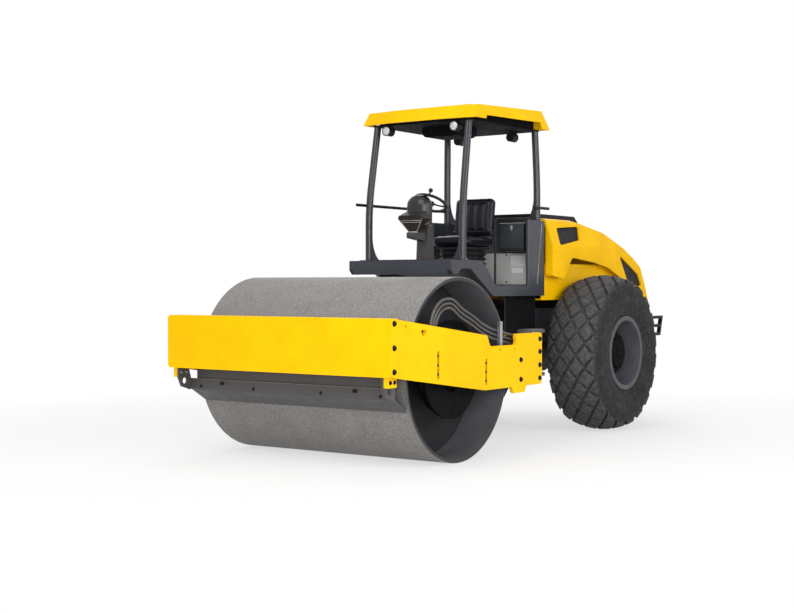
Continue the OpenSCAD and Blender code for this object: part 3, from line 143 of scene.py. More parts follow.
def mix_shaders(tree, factor, first, second, out):
    mix = tree.nodes.new("ShaderNodeMixShader")
    for socket, value in zip(mix.inputs, (factor, first.outputs[0], second.outputs[0])):
        tree.links.new(value, socket)
    tree.links.new(mix.outputs[0], out.inputs["Surface"])


def make_world():
    world = bpy.data.worlds.new("studio")
    bpy.context.scene.world = world
    world.use_nodes = True
    tree = world.node_tree
    tree.nodes.clear()
    out = tree.nodes.new("ShaderNodeOutputWorld")
    soft = tree.nodes.new("ShaderNodeBackground")
    soft.inputs["Color"].default_value = SKY
    soft.inputs["Strength"].default_value = SKY_POWER
    white = tree.nodes.new("ShaderNodeBackground")
    white.inputs["Color"].default_value = (1, 1, 1, 1)
    mix_shaders(tree, seen_directly(tree), soft, white, out)


def make_floor():
    bpy.ops.mesh.primitive_circle_add(vertices=96, radius=FLOOR_R, fill_type="NGON")
    floor = bpy.context.object
    floor.name = "floor"
    material = bpy.data.materials.new("pale_floor")
    material.use_nodes = True
    tree = material.node_tree
    shader = tree.nodes["Principled BSDF"]
    shader.inputs["Base Color"].default_value = FLOOR_GREY
    shader.inputs["Roughness"].default_value = 0.9
    shader.inputs["Specular IOR Level"].default_value = 0.1
    away = tree.nodes.new("ShaderNodeVectorMath")
    away.operation = "LENGTH"
    tree.links.new(tree.nodes.new("ShaderNodeTexCoord").outputs["Object"], away.inputs[0])
    fade = tree.nodes.new("ShaderNodeMapRange")
    for name, value in FLOOR_FADE.items():
        fade.inputs[name].default_value = value
    tree.links.new(away.outputs["Value"], fade.inputs["Value"])
    share = tree.nodes.new("ShaderNodeMath")
    share.operation = "MULTIPLY"
    tree.links.new(seen_directly(tree), share.inputs[0])
    tree.links.new(fade.outputs[0], share.inputs[1])
    glow = tree.nodes.new("ShaderNodeEmission")
    mix_shaders(tree, share.outputs[0], shader, glow, tree.nodes["Material Output"])
    floor.data.materials.append(material)
    floor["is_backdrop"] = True


bpy.context.scene.view_settings.view_transform = "Standard"
make_camera()
make_world()
make_floor()
make_lights()


# Materials

class Shade:
    """A procedural material built up on one principled shader."""

    def __init__(self, name, rough, metal=0.0, coat=0.0, specular=0.5):
        self.material = bpy.data.materials.new(name)
        self.material.use_nodes = True
        self.tree = self.material.node_tree
        self.shader = self.tree.nodes["Principled BSDF"]
        for socket, value in (("Roughness", rough), ("Metallic", metal), ("Coat Weight", coat),
                              ("Coat Roughness", 0.12), ("Specular IOR Level", specular)):
            self.shader.inputs[socket].default_value = value
        self.coord = self.node("TexCoord").outputs["Object"]

    def node(self, kind, **values):
        """A new node with inputs set by name, where an underscore stands for a space."""
        made = self.tree.nodes.new("ShaderNode" + kind)
        for name, value in values.items():
            made.inputs[name.replace("_", " ")].default_value = value
        return made

    def link(self, a, b):
        self.tree.links.new(a, b)

    def noise(self, scale, detail=4, rough=0.6, stretch=None):
        node = self.node("TexNoise", Scale=scale, Detail=detail, Roughness=rough)
        place = self.coord
        if stretch:
            mapping = self.node("Mapping", Scale=stretch)
            self.link(place, mapping.inputs["Vector"])
            place = mapping.outputs[0]
        self.link(place, node.inputs["Vector"])
        return node.outputs["Fac"]

    def cells(self, scale):
        node = self.node("TexVoronoi", Scale=scale)
        self.link(self.coord, node.inputs["Vector"])
        return node.outputs["Distance"]

    def ramp(self, value, low, high, a=0.0, b=1.0):
        node = self.node("MapRange", From_Min=low, From_Max=high, To_Min=a, To_Max=b)
        self.link(value, node.inputs["Value"])
        return node.outputs[0]

    def math(self, operation, a, b):
        node = self.node("Math")
        node.operation = operation
        for socket, value in zip(node.inputs, (a, b)):
            if isinstance(value, (int, float)):
                socket.default_value = value
            else:
                self.link(value, socket)
        return node.outputs[0]

    def times(self, a, b):
        return self.math("MULTIPLY", a, b)

    def mix(self, factor, a, b):
        node = self.node("Mix")
        node.data_type = "RGBA"
        self.link(factor, node.inputs["Factor"])
        for socket, value in ((node.inputs[6], a), (node.inputs[7], b)):
            if isinstance(value, tuple):
                socket.default_value = (*value, 1)
            else:
                self.link(value, socket)
        return node.outputs[2]

    def clouds(self, noise, colours, low=0.35, high=0.7):
        """Two colours that pass into each other."""
        return self.mix(self.ramp(noise, low, high), *colours)

    def parts(self, vector):
        node = self.node("SeparateXYZ")
        self.link(vector, node.inputs[0])
        return node.outputs

    def geometry(self, name):
        return self.node("NewGeometry").outputs[name]

    def upward(self):
        """1 on surfaces that face up, where dust lies."""
        return self.ramp(self.parts(self.geometry("Normal"))["Z"], 0.3, 0.95)

    def sideways(self):
        """1 on surfaces that face the machine's left or right."""
        across = self.parts(self.geometry("Normal"))["Y"]
        return self.ramp(self.math("ABSOLUTE", across, 0), 0.6, 0.9)

    def worn_edges(self):
        """1 along edges that stand out."""
        return self.ramp(self.geometry("Pointiness"), 0.56, 0.66)

    def radius(self, x, z):
        """Distance from an axle at (x, z)."""
        place = self.parts(self.coord)
        a = self.math("SUBTRACT", place["X"], x)
        b = self.math("SUBTRACT", place["Z"], z)
        return self.math("SQRT", self.math("ADD", self.times(a, a), self.times(b, b)), 0)

    def colour(self, value):
        self.link(value, self.shader.inputs["Base Color"])

    def rough(self, scale, detail, low, high):
        """Roughness that wanders between two values."""
        value = self.ramp(self.noise(scale, detail), 0.3, 0.7, low, high)
        self.link(value, self.shader.inputs["Roughness"])

    def bump(self, height, strength, distance):
        node = self.node("Bump", Strength=strength, Distance=distance)
        self.link(height, node.inputs["Height"])
        self.link(node.outputs[0], self.shader.inputs["Normal"])
        return self.material


DUST = (0.36, 0.33, 0.29)
STEEL_GREYS = (0.175, 0.165, 0.158), (0.27, 0.252, 0.24)
STEEL_GRAIN = (0.085, 0.081, 0.08), (0.36, 0.345, 0.33)
STEEL_FLECK, STEEL_PIT = (0.55, 0.53, 0.50), (0.05, 0.048, 0.046)
DRUM_INSIDE = (0.105, 0.102, 0.113), (0.135, 0.131, 0.144)
DRUM_END = (0.03, 0.029, 0.032)
DRUM_ROLLED_R = 0.744, 0.747
TYRE_FLANK = (0.013, 0.0125, 0.0135), (0.025, 0.024, 0.025)
TYRE_TREAD = (0.038, 0.037, 0.038), (0.092, 0.088, 0.090)
TYRE_DIRT = (0.13, 0.122, 0.118)
TYRE_SHOULDER_R = 0.655, 0.725
# The rim's one paint in a lit and a shaded tone, by the way its faces turn: painted light and
# shade
RIM_BARREL_LIT = (0.082, 0.085, 0.098), (0.105, 0.109, 0.124)
RIM_FLANGE_SHADED = (0.012, 0.012, 0.014)
SEAT_BLACKS = (0.003, 0.0036, 0.0066), (0.006, 0.0072, 0.0132)
LENS_GREYS = (0.75, 0.77, 0.78), (0.42, 0.44, 0.45)
IRON = (0.032, 0.034, 0.038)


def scaled(colour, *factors):
    """The colour times each factor."""
    return tuple(tuple(min(1.0, c * factor) for c in colour) for factor in factors)


def painted(name, colour, rough, coat, dust, specular, peel):
    """Sprayed paint: slight clouds, orange peel, some dust where it lies flat, rubbed edges."""
    s = Shade(name, rough, coat=coat, specular=specular)
    base = s.clouds(s.noise(3.0), scaled(colour, 0.93, 1.04), 0.35, 0.68)
    fall = s.times(s.upward(), s.ramp(s.noise(9.0, 6), 0.42, 0.72))
    base = s.mix(s.times(fall, dust), base, DUST)
    chips = s.times(s.worn_edges(), s.ramp(s.noise(60.0, 3), 0.5, 0.6))
    s.colour(s.mix(s.times(chips, 0.2), base, *scaled(colour, 0.4)))
    s.rough(14.0, 5, rough * 0.85, rough * 1.25)
    return s.bump(s.noise(420.0, 2), peel, 0.0006)


def speckled_steel():
    """Rolled drum steel: dusty grey with fine stone marks, light flecks and pits."""
    s = Shade("worn_drum_steel", 0.62, metal=0.25)
    grey = s.clouds(s.noise(5.0, 6), STEEL_GREYS, 0.3)
    grain = s.clouds(s.noise(70.0, 6, 0.8), STEEL_GRAIN, 0.36, 0.64)
    base = s.mix(s.ramp(s.noise(26.0, 4), 0.3, 0.7, 0.4, 0.8), grey, grain)
    flecks = s.times(s.ramp(s.cells(31.0), 0.06, 0.2, 1.0, 0.0),
                     s.ramp(s.noise(11.0, 2), 0.5, 0.6))
    base = s.mix(s.times(flecks, 0.75), base, STEEL_FLECK)
    pits = s.times(s.ramp(s.cells(46.0), 0.02, 0.14, 1.0, 0.0),
                   s.ramp(s.noise(17.0, 2), 0.52, 0.6))
    base = s.mix(s.times(pits, 0.7), base, STEEL_PIT)
    rolled = s.ramp(s.radius(DRUM_X, DRUM_Z), *DRUM_ROLLED_R)
    inside = s.mix(s.sideways(), s.clouds(s.noise(4.0), DRUM_INSIDE), DRUM_END)
    s.colour(s.mix(rolled, inside, base))
    s.rough(60.0, 4, 0.5, 0.82)
    height = s.math("SUBTRACT", s.noise(180.0, 5, 0.7), s.times(pits, 1.4))
    return s.bump(s.times(height, rolled), 0.35, 0.002)


def metal(name, colour, rough, grain, streak):
    s = Shade(name, rough, metal=0.9)
    s.colour(s.clouds(s.noise(grain, 5, stretch=streak), scaled(colour, 0.75, 1), 0.3))
    s.rough(grain * 2, 4, rough * 0.8, rough * 1.25)
    return s.bump(s.noise(grain * 3, 3, stretch=streak), 0.08, 0.0008)


def cast_iron():
    s = Shade("cast_iron", 0.62, coat=0.05)
    base = s.clouds(s.noise(4.0), scaled(IRON, 0.8, 1.2))
    s.colour(s.mix(s.times(s.upward(), 0.25), base, DUST))
    return s.bump(s.noise(120.0, 5), 0.25, 0.002)


def moulded(name, colour, rough, grain, bump, specular, dust):
    """Grained plastic or rubber, with a little dust on top."""
    s = Shade(name, rough, specular=specular)
    base = s.clouds(s.noise(6.0), scaled(colour, 0.75, 1.25))
    fall = s.times(s.upward(), s.ramp(s.noise(12.0, 5), 0.45, 0.75))
    s.colour(s.mix(s.times(fall, dust), base, DUST))
    s.rough(30.0, 4, rough * 0.85, rough * 1.2)
    return s.bump(s.cells(grain), bump, 0.0012)


def tyre_rubber():
    """Black flanks, and a tread that is greyer with dust."""
    s = Shade("dusty_tyre_rubber", 0.78, specular=0.2)
    flank = s.clouds(s.noise(7.0, 5), TYRE_FLANK, 0.3)
    tread = s.clouds(s.noise(30.0, 6), TYRE_TREAD)
    base = s.mix(s.ramp(s.radius(AXLE_X, AXLE_Z), *TYRE_SHOULDER_R), flank, tread)
    s.colour(s.mix(s.times(s.ramp(s.noise(22.0, 6), 0.5, 0.75), 0.3), base, TYRE_DIRT))
    s.rough(40.0, 4, 0.66, 0.9)
    return s.bump(s.noise(260.0, 4), 0.2, 0.0012)


def rim_paint():
    """Satin slate paint; the lighter barrel and the near black side-facing flange are painted
    light and shade.
    """
    s = Shade("rim_paint", 0.36, coat=0.15)
    # Faces turned to the side take the shaded tone: painted shade beside the lit barrel
    base = s.mix(s.sideways(), s.clouds(s.noise(5.0), RIM_BARREL_LIT), RIM_FLANGE_SHADED)
    s.colour(s.mix(s.times(s.ramp(s.noise(11.0, 5), 0.5, 0.75), 0.06), base, DUST))
    s.rough(14.0, 5, 0.3, 0.46)
    return s.bump(s.noise(300.0, 2), 0.02, 0.0006)


def vinyl():
    """Glossy dark blue-black vinyl with a fine skin grain."""
    s = Shade("seat_vinyl", 0.32, specular=0.18)
    s.colour(s.clouds(s.noise(5.0), SEAT_BLACKS))
    s.rough(24.0, 4, 0.24, 0.4)
    return s.bump(s.cells(420.0), 0.06, 0.0006)


def clear_lens():
    s = Shade("lamp_lens", 0.08, coat=0.4)
    s.colour(s.clouds(s.cells(90.0), LENS_GREYS, 0.1, 0.5))
    return s.bump(s.cells(90.0), 0.4, 0.002)


# Paints by colour, roughness, coat, dust, specular and orange peel
PAINTS = {
    "yellow_paint": ((0.96, 0.53, 0.001), 0.42, 0.0, 0.04, 0.07, 0.012),
    "dark_paint": ((0.030, 0.034, 0.043), 0.36, 0.12, 0.16, 0.35, 0.03),
    "black_paint": ((0.007, 0.007, 0.009), 0.46, 0.0, 0.12, 0.15, 0.03),
    # The lower wall panel's pale grey: dust, made paler still as painted light
    "dusty_panel": ((0.60, 0.58, 0.56), 0.62, 0.0, 0.4, 0.5, 0.03),
    "glossy_dark": ((0.020, 0.022, 0.029), 0.26, 0.12, 0.04, 0.3, 0.001),
    "scraper_steel": ((0.066, 0.063, 0.066), 0.5, 0.0, 0.3, 0.4, 0.03),
    # Near black on the drum's discs: painted shade
    "disc_paint": ((0.024, 0.0235, 0.026), 0.6, 0.0, 0.1, 0.15, 0.03),
    # Near black; on the drum's carriers and motors and on the step plates it is painted shade
    "deep_black": ((0.005, 0.005, 0.006), 0.75, 0.0, 0.05, 0.06, 0.03),
    "white_plate": ((0.90, 0.90, 0.89), 0.35, 0.2, 0.04, 0.5, 0.03),
    "console_skin": ((0.052, 0.048, 0.047), 0.5, 0.0, 0.3, 0.3, 0.03),
}
# Plastics and rubbers by colour, roughness, grain, bump, specular and dust
PLASTICS = {
    "rubber": ((0.014, 0.014, 0.014), 0.55, 300.0, 0.25, 0.35, 0.16),
    "black_plastic": ((0.014, 0.0135, 0.0135), 0.42, 240.0, 0.18, 0.2, 0.1),
    "hose_sleeve": ((0.042, 0.037, 0.033), 0.36, 160.0, 0.2, 0.6, 0.05),
    "dash_skin": ((0.007, 0.006, 0.0055), 0.3, 300.0, 0.02, 0.45, 0.03),
    "brown_visor": ((0.018, 0.0145, 0.011), 0.4, 240.0, 0.06, 0.35, 0.06),
    # Pale lines: painted highlights on the side panels and along the visor's edges, and the pale
    # bar across the visor
    "pale_trim": ((0.34, 0.31, 0.29), 0.45, 240.0, 0.18, 0.35, 0.16),
}
# Bare metals by colour, roughness, grain and the grain's stretch
METALS = {
    "grey_steel": ((0.42, 0.43, 0.44), 0.42, 60.0, (1, 1, 1)),
    "chromed_steel": ((0.75, 0.75, 0.76), 0.12, 40.0, (1, 18, 18)),
    "bright_edge": ((0.24, 0.23, 0.22), 0.45, 30.0, (1, 1, 1)),
}
MAT = {"worn_steel": speckled_steel(), "cast_iron": cast_iron(), "tyre_rubber": tyre_rubber(),
       "vinyl": vinyl(), "lamp_lens": clear_lens(), "rim_paint": rim_paint()}
for make, table in ((painted, PAINTS), (moulded, PLASTICS), (metal, METALS)):
    for look, row in table.items():
        MAT[look] = make(look, *row)
# CAD pieces with a look of their own in place of their slot's
# The near black of the drum's discs, carriers and motors is painted shade
BETTER = {"scraper": "scraper_steel", "console": "console_skin",
          "rim_left": "rim_paint", "rim_right": "rim_paint", "roof_frame": "deep_black",
          "drum_discs": "disc_paint", "drum_carriers": "deep_black", "drum_motors": "deep_black"}
SLOT_OF = {row["node"]: row["material_slot"] for row in frame["record"]["subparts"]}
for node_name, node in NODES.items():
    node.data.materials.clear()
    node.data.materials.append(MAT[BETTER.get(node_name, SLOT_OF[node_name])])


# Making pieces

def piece(name, bm, body, slot, smooth=35, look=None, finish=None):
    """A finished mesh that rides on a body, shaded smooth except over sharp edges."""
    bmesh.ops.recalc_face_normals(bm, faces=bm.faces)
    mesh = bpy.data.meshes.new(name)
    bm.to_mesh(mesh)
    bm.free()
    mesh.materials.append(MAT[look or slot])
    obj = bpy.data.objects.new(name, mesh)
    bpy.context.scene.collection.objects.link(obj)
    mesh.shade_smooth()
    mesh.set_sharp_from_angle(angle=math.radians(smooth))
    if finish:
        finish(obj)
    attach(obj, body)
    return obj


def turns(steps, start=0):
    """The angles of an even round."""
    return [2 * math.pi * (k + start) / steps for k in range(steps)]


def bent(a, b, c, steps):
    """Points of a curve from a to c that is drawn towards b."""
    return [(1 - t) ** 2 * a + 2 * t * (1 - t) * b + t * t * c
            for t in (k / steps for k in range(steps + 1))]


def curve_points(points, steps):
    """A smooth line through points."""
    points = [Vector(p) for p in points]
    last = len(points) - 1
    line = []
    for i in range(last):
        a, b, c, d = points[max(i - 1, 0)], points[i], points[i + 1], points[min(i + 2, last)]
        for k in range(steps):
            t = k / steps
            line.append(0.5 * (2 * b + (c - a) * t + (2 * a - 5 * b + 4 * c - d) * t * t
                               + (3 * b - a - 3 * c + d) * t ** 3))
    return line + [points[-1]]


def ring_skin(bm, rings, cap=True, loop=False):
    """Joins rings of points into a skin, with flat caps at both ends."""
    made = [[bm.verts.new(p) for p in ring] for ring in rings]
    count = len(made[0])
    pairs = list(zip(made, made[1:])) + ([(made[-1], made[0])] if loop else [])
    for a, b in pairs:
        for k in range(count):
            j = (k + 1) % count
            bm.faces.new((a[k], a[j], b[j], b[k]))
    if cap and not loop:
        bm.faces.new(made[0])
        bm.faces.new(made[-1])


def across(axis):
    """The axis at unit length, and two directions across it."""
    axis = Vector(axis).normalized()
    side = axis.cross(Vector(UPWARD))
    if side.length < 1e-4:
        side = Vector(FORWARD)
    side.normalize()
    return axis, side, axis.cross(side)


def lathe(bm, at, axis, profile, steps=32, cap=True, loop=False):
    """A turned shape: profile rows are (distance along the axis, radius)."""
    axis, side, up = across(axis)
    at = Vector(at)
    rings = [[at + axis * along + (side * math.cos(t) + up * math.sin(t)) * radius
              for t in turns(steps)] for along, radius in profile]
    ring_skin(bm, rings, cap=cap, loop=loop)


def tube(bm, line, radius, sides=12, loop=False):
    """A round tube along a line of points; the radius may depend on the point's number."""
    rings = []
    line = [Vector(p) for p in line]
    n = len(line)
    for i, p in enumerate(line):
        if loop:
            along = (line[(i + 1) % n] - line[i - 1]).normalized()
        else:
            along = (line[min(i + 1, n - 1)] - line[max(i - 1, 0)]).normalized()
        side = along.cross(Vector(UPWARD))
        if side.length < 1e-3:
            side = Vector(LEFTWARD)
        side.normalize()
        over = side.cross(along)
        r = radius(i) if callable(radius) else radius
        rings.append([p + (side * math.cos(t) + over * math.sin(t)) * r for t in turns(sides)])
    ring_skin(bm, rings, loop=loop)


# Bolt shapes as (share of the head's radius along the axis, share of it across)
WASHER = [(0.18, 1.35), (0.22, 1.3)]
HEAD = [(0.55, 1), (0.7, 0.84)]
WASHER_SINK, HEAD_SINK, HEAD_LIFT = 0.002, 0.001, 0.2


def hex_bolt(bm, at, axis, r, washer=True):
    """Hexagon head with a chamfered top, on a washer."""
    base = Vector(at)
    if washer:
        rows = [(r * a, r * b) for a, b in WASHER]
        lathe(bm, base, axis, [(-WASHER_SINK, rows[0][1])] + rows, 20)
        base = base + Vector(axis).normalized() * r * HEAD_LIFT
    lathe(bm, base, axis, [(-HEAD_SINK, r)] + [(r * a, r * b) for a, b in HEAD], 6)


def bevelled_box(bm, low, high, bevel):
    made = bmesh.ops.create_cube(bm, size=1.0)["verts"]
    low, high = Vector(low), Vector(high)
    for v in made:
        v.co = Vector(((low[i] + high[i]) / 2 + v.co[i] * (high[i] - low[i])) for i in range(3))
    edges = list({e for v in made for e in v.link_edges})
    bmesh.ops.bevel(bm, geom=edges, offset=bevel, segments=2, affect="EDGES", profile=0.6)


def bolts(name, places, axis, r, body, slot):
    bm = bmesh.new()
    for at in places:
        hex_bolt(bm, at, axis, r)
    piece(name, bm, body, slot, smooth=25)


def slab(x, y, z):
    """The low and the high corner of a box, from its ranges."""
    return tuple(zip(x, y, z))


def boxes(name, places, body, slot, bevel, look=None):
    bm = bmesh.new()
    for low, high in places:
        bevelled_box(bm, low, high, bevel)
    piece(name, bm, body, slot, look=look)


def turned(name, at, axis, profile, body, slot, steps=32, look=None):
    bm = bmesh.new()
    lathe(bm, at, axis, profile, steps)
    piece(name, bm, body, slot, look=look)


def rods(name, lines, radius, body, slot, look=None, sides=12):
    bm = bmesh.new()
    for line in lines:
        tube(bm, line, radius, sides)
    piece(name, bm, body, slot, smooth=60, look=look)


# Tyres: the same lattice of diamond blocks as the solid, with rounded blocks and turned flanks

TREAD_BLOCKS, TREAD_LINES, TREAD_HALF = 20, 3, 0.250
TREAD_R, CROWN_DROP, BLOCK_DEPTH = 0.765, 0.056, 0.032
BEAD_R, BEAD_Y, SEAT_R = 0.36392, 0.2347, 0.33383
TYRE_STEPS, FLANK_STEPS = 120, 6
# The flank as (radius, distance from the wheel's middle)
FLANK = [(0.677, 0.250), (0.6332, 0.2692), (0.558, 0.2775), (0.4516, 0.2636), (BEAD_R, BEAD_Y)]
# The carcass under the blocks, by lines from the middle
CARCASS = (-2.25, -1.5, -0.75, 0, 0.75, 1.5, 2.25)
# A block from its foot to its top, as (share of its outline, depth below the tread)
BLOCK = [(0.93, BLOCK_DEPTH + 0.004), (0.87, BLOCK_DEPTH - 0.004), (0.82, 0.006),
         (0.79, 0.0015), (0.74, 0.0), (0.4, 0.0)]
BLOCK_CORNER, CORNER_STEPS = 0.16, 3
# Half blocks on the shoulders: the gap beside them in pitches, and their reach in lines
SHOULDER_GAP, SHOULDER_REACH = 0.04, 1.02
# Raised rings on the flank as (radius, distance from the middle), and their section
FLANK_RINGS = [(0.60, 0.2745), (0.49, 0.2700)]
RING_SECTION = [(-0.004, 0.012), (0.003, 0.006), (0.003, -0.006), (-0.004, -0.012)]


def round_axle(r, turn, y):
    return Vector((AXLE_X + r * math.cos(turn), y, AXLE_Z + r * math.sin(turn)))


def crown(w):
    """Radius of the tread by the place across it in lines."""
    return TREAD_R - CROWN_DROP * (w / TREAD_LINES) ** 2


def on_tyre(u, w, drop, side):
    """A point by turn in block pitches, place across in lines, and depth below the tread."""
    y = side * (WHEEL_Y + w * TREAD_HALF / TREAD_LINES)
    return round_axle(crown(w) - drop, 2 * math.pi * u / TREAD_BLOCKS, y)


def tread_block(bm, corners, side):
    """A block on corners in (turn, line), each rounded by a short arc."""
    corners = [Vector(c) for c in corners]
    n = len(corners)
    centre = sum(corners, Vector((0, 0))) / n
    outline = []
    for i in range(n):
        before, here, after = (corners[(i + k) % n] for k in (-1, 0, 1))
        outline += bent(here + (before - here) * BLOCK_CORNER, here,
                        here + (after - here) * BLOCK_CORNER, CORNER_STEPS)
    ring_skin(bm, [[on_tyre(*(centre + (p - centre) * share), drop, side) for p in outline]
                   for share, drop in BLOCK])


def make_tyre(name, side, body):
    bm = bmesh.new()
    outer = [tuple(p) for p in curve_points(FLANK, FLANK_STEPS)]
    carcass = [(crown(w) - BLOCK_DEPTH, w * TREAD_HALF / TREAD_LINES) for w in CARCASS]
    section = ([(SEAT_R, -BEAD_Y)] + [(r, -y) for r, y in reversed(outer)] + carcass + outer
               + [(SEAT_R, BEAD_Y)])
    ring_skin(bm, [[round_axle(r, t, side * (WHEEL_Y + y)) for t in turns(TYRE_STEPS)]
                   for r, y in section], loop=True)
    for w in range(1 - TREAD_LINES, TREAD_LINES):
        for i in range(TREAD_BLOCKS):
            u = i + (0.5 if w % 2 else 0.0)
            tread_block(bm, [(u - 0.5, w), (u, w + 1), (u + 0.5, w), (u, w - 1)], side)
    for edge in (-1, 1):
        w = edge * (TREAD_LINES - 1)
        end = w + edge * SHOULDER_REACH
        for i in range(TREAD_BLOCKS):
            corners = [(i + 0.5, w), (i + SHOULDER_GAP, end), (i + 1 - SHOULDER_GAP, end)]
            tread_block(bm, corners, side)
    for ring_r, ring_y in FLANK_RINGS:
        for out in (-1, 1):
            lathe(bm, (AXLE_X, side * (WHEEL_Y + out * ring_y), AXLE_Z), (0, side * out, 0),
                  [(high, ring_r + wide) for high, wide in RING_SECTION], TYRE_STEPS, loop=True)
    tyre = piece(name, bm, body, "tyre_rubber", smooth=40)
    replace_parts(tyre, name.replace("_tread", ""))


make_tyre("tyre_left_tread", 1, "wheel_left")
make_tyre("tyre_right_tread", -1, "wheel_right")


# Hoses from the drum's motor to the rear of the frame, on the solid's own route

HOSE_COUNT, HOSE_D, HOSE_STEP = 3, 0.026, 0.036
HOSE_Y, HOSE_OUT = 1.026, 0.0665
# Points ahead of and above the drum's axle in drum radii, and the share of the way out
HOSE_ROUTE = [(0.203, 0.073, 0), (0.365, 0.15, 0.15), (0.485, 0.258, 0.4), (0.561, 0.385, 0.65),
              (0.574, 0.516, 0.85), (0.533, 0.632, 0.95), (0.45, 0.715, 1), (0.333, 0.759, 1),
              (0.176, 0.753, 1), (-0.012, 0.652, 1), (-0.216, 0.573, 1), (-0.415, 0.483, 1),
              (-0.64, 0.414, 1), (-0.88, 0.37, 1), (-1.118, 0.325, 1), (-1.3, 0.288, 1)]
FERRULE = [(-0.009, 0.013), (0.0, 0.0158), (0.034, 0.0158), (0.04, 0.0142), (0.05, 0.0132)]
HOSE_NUT = [(0, 0.0155), (0.002, 0.0172), (0.012, 0.0172), (0.014, 0.0155)]
HOSE_NUT_BACK = 0.018


def hose_line(k):
    """The k-th hose, beside the first."""
    base = [Vector((DRUM_X + a * DRUM_R, HOSE_Y + c * HOSE_OUT, DRUM_Z + b * DRUM_R))
            for a, b, c in HOSE_ROUTE]
    n = len(base)
    points = []
    for i, p in enumerate(base):
        d = base[min(i + 1, n - 1)] - base[max(i - 1, 0)]
        points.append(p + Vector((-d.z, 0, d.x)).normalized() * k * HOSE_STEP)
    return curve_points(points, 8)


def make_hoses():
    fittings = bmesh.new()
    for k in range(HOSE_COUNT):
        line = hose_line(k)
        bm = bmesh.new()
        tube(bm, line, HOSE_D / 2, 16)
        hose = piece(f"drum_hose_{k + 1}", bm, FRONT, "rubber", smooth=60, look="hose_sleeve")
        if k == 0:
            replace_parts(hose, "drum_hoses")
        for end, then in ((line[0], line[1]), (line[-1], line[-2])):
            along = (then - end).normalized()
            lathe(fittings, end, along, FERRULE, 20)
            lathe(fittings, end - along * HOSE_NUT_BACK, along, HOSE_NUT, 6)
    piece("drum_hose_fittings", fittings, FRONT, "grey_steel", smooth=30)


make_hoses()


# Seat: padded skins that are swollen by cloth simulation between their sewn channels

PAD_COUNTS = (36, 36, 9)
PAD_ROUND, PAD_EDGE = 0.05, 0.04
SEAM_DEPTH, PAD_CROWN, PAD_TRAVEL, PIPING_R = 0.010, 0.012, 0.012, 0.0045
CLOTH_FRAMES = 20
CLOTH = {"quality": 5, "mass": 0.3, "tension_stiffness": 15, "compression_stiffness": 15,
         "shear_stiffness": 5, "bending_stiffness": 0.5, "use_pressure": True,
         "uniform_pressure_force": 4, "vertex_group_mass": "sewn"}
# Each pad's half width, half length and half thickness, its channels by their place across
# the width, its seams as shares of the length, and how far it is set into its frame
CUSHION = ((0.208, 0.232, 0.046), (-0.13, 0.13), (0.12, 0.36, 0.6, 0.86), 0.004)
BACKREST = ((0.211, 0.183, 0.047), (-0.135, -0.045, 0.045, 0.135), (0.13, 0.86), 0.002)
BACK_LEAN = math.radians(8)
BELLOWS_FOLDS, BELLOWS_STEPS, BELLOWS_POWER = 7, 48, 6
BELLOWS_OUT, BELLOWS_IN, BELLOWS_END = 0.002, 0.024, 0.02
SEAT_PLATE_T, SEAT_PLATE_BEVEL = 0.022, 0.005
SEAT_HINGE, SEAT_HINGE_Y = (-0.06, 1.925), 0.205
HINGE_COVER = [(0, 0.03), (0.012, 0.03), (0.017, 0.024), (0.018, 0.008)]


def rounded_skin(bm, half, radii, counts, flat_below=False):
    """A closed box skin with rounded edges, as points by lattice place.

    With flat_below the bottom stays flat, with sharp edges.
    """
    points = {}
    for i in range(counts[0] + 1):
        for j in range(counts[1] + 1):
            for k in range(counts[2] + 1):
                at = (i, j, k)
                if not any(a in (0, n) for a, n in zip(at, counts)):
                    continue
                flat = [(2 * a / n - 1) * h for a, n, h in zip(at, counts, half)]
                inner = [max(r - h, min(h - r, c)) for c, h, r in zip(flat, half, radii)]
                if flat_below:
                    inner[2] = min(flat[2], half[2] - radii[2])
                turn = Vector([(c - q) / r for c, q, r in zip(flat, inner, radii)])
                if turn.length > 1e-6:
                    turn *= max(abs(t) for t in turn) / turn.length
                points[at] = bm.verts.new([q + t * r for q, t, r in zip(inner, turn, radii)])
    for axis in range(3):
        a, b = [n for n in range(3) if n != axis]
        for side in (0, counts[axis]):
            for i in range(counts[a]):
                for j in range(counts[b]):
                    corner = []
                    for da, db in ((0, 0), (1, 0), (1, 1), (0, 1)):
                        at = [0, 0, 0]
                        at[axis], at[a], at[b] = side, i + da, j + db
                        corner.append(points[tuple(at)])
                    bm.faces.new(corner)
    return points


def swell(obj, sewn):
    """A cloth simulation under pressure, held at the sewn points, with the travel capped."""
    scene = bpy.context.scene
    obj.vertex_groups.new(name="sewn").add(sewn, 1.0, "REPLACE")
    cloth = obj.modifiers.new("cloth", "CLOTH")
    for name, value in CLOTH.items():
        setattr(cloth.settings, name, value)
    cloth.settings.effector_weights.gravity = 0
    cloth.point_cache.frame_start, cloth.point_cache.frame_end = 1, CLOTH_FRAMES
    for f in range(1, CLOTH_FRAMES + 1):
        scene.frame_set(f)
    got = obj.evaluated_get(bpy.context.evaluated_depsgraph_get()).data
    moved = [v.co.copy() for v in got.vertices]
    obj.modifiers.remove(cloth)
    scene.frame_set(1)
    for v, to in zip(obj.data.vertices, moved):
        travel = to - v.co
        if travel.length > PAD_TRAVEL:
            travel *= PAD_TRAVEL / travel.length
        v.co += travel
    obj.vertex_groups.clear()


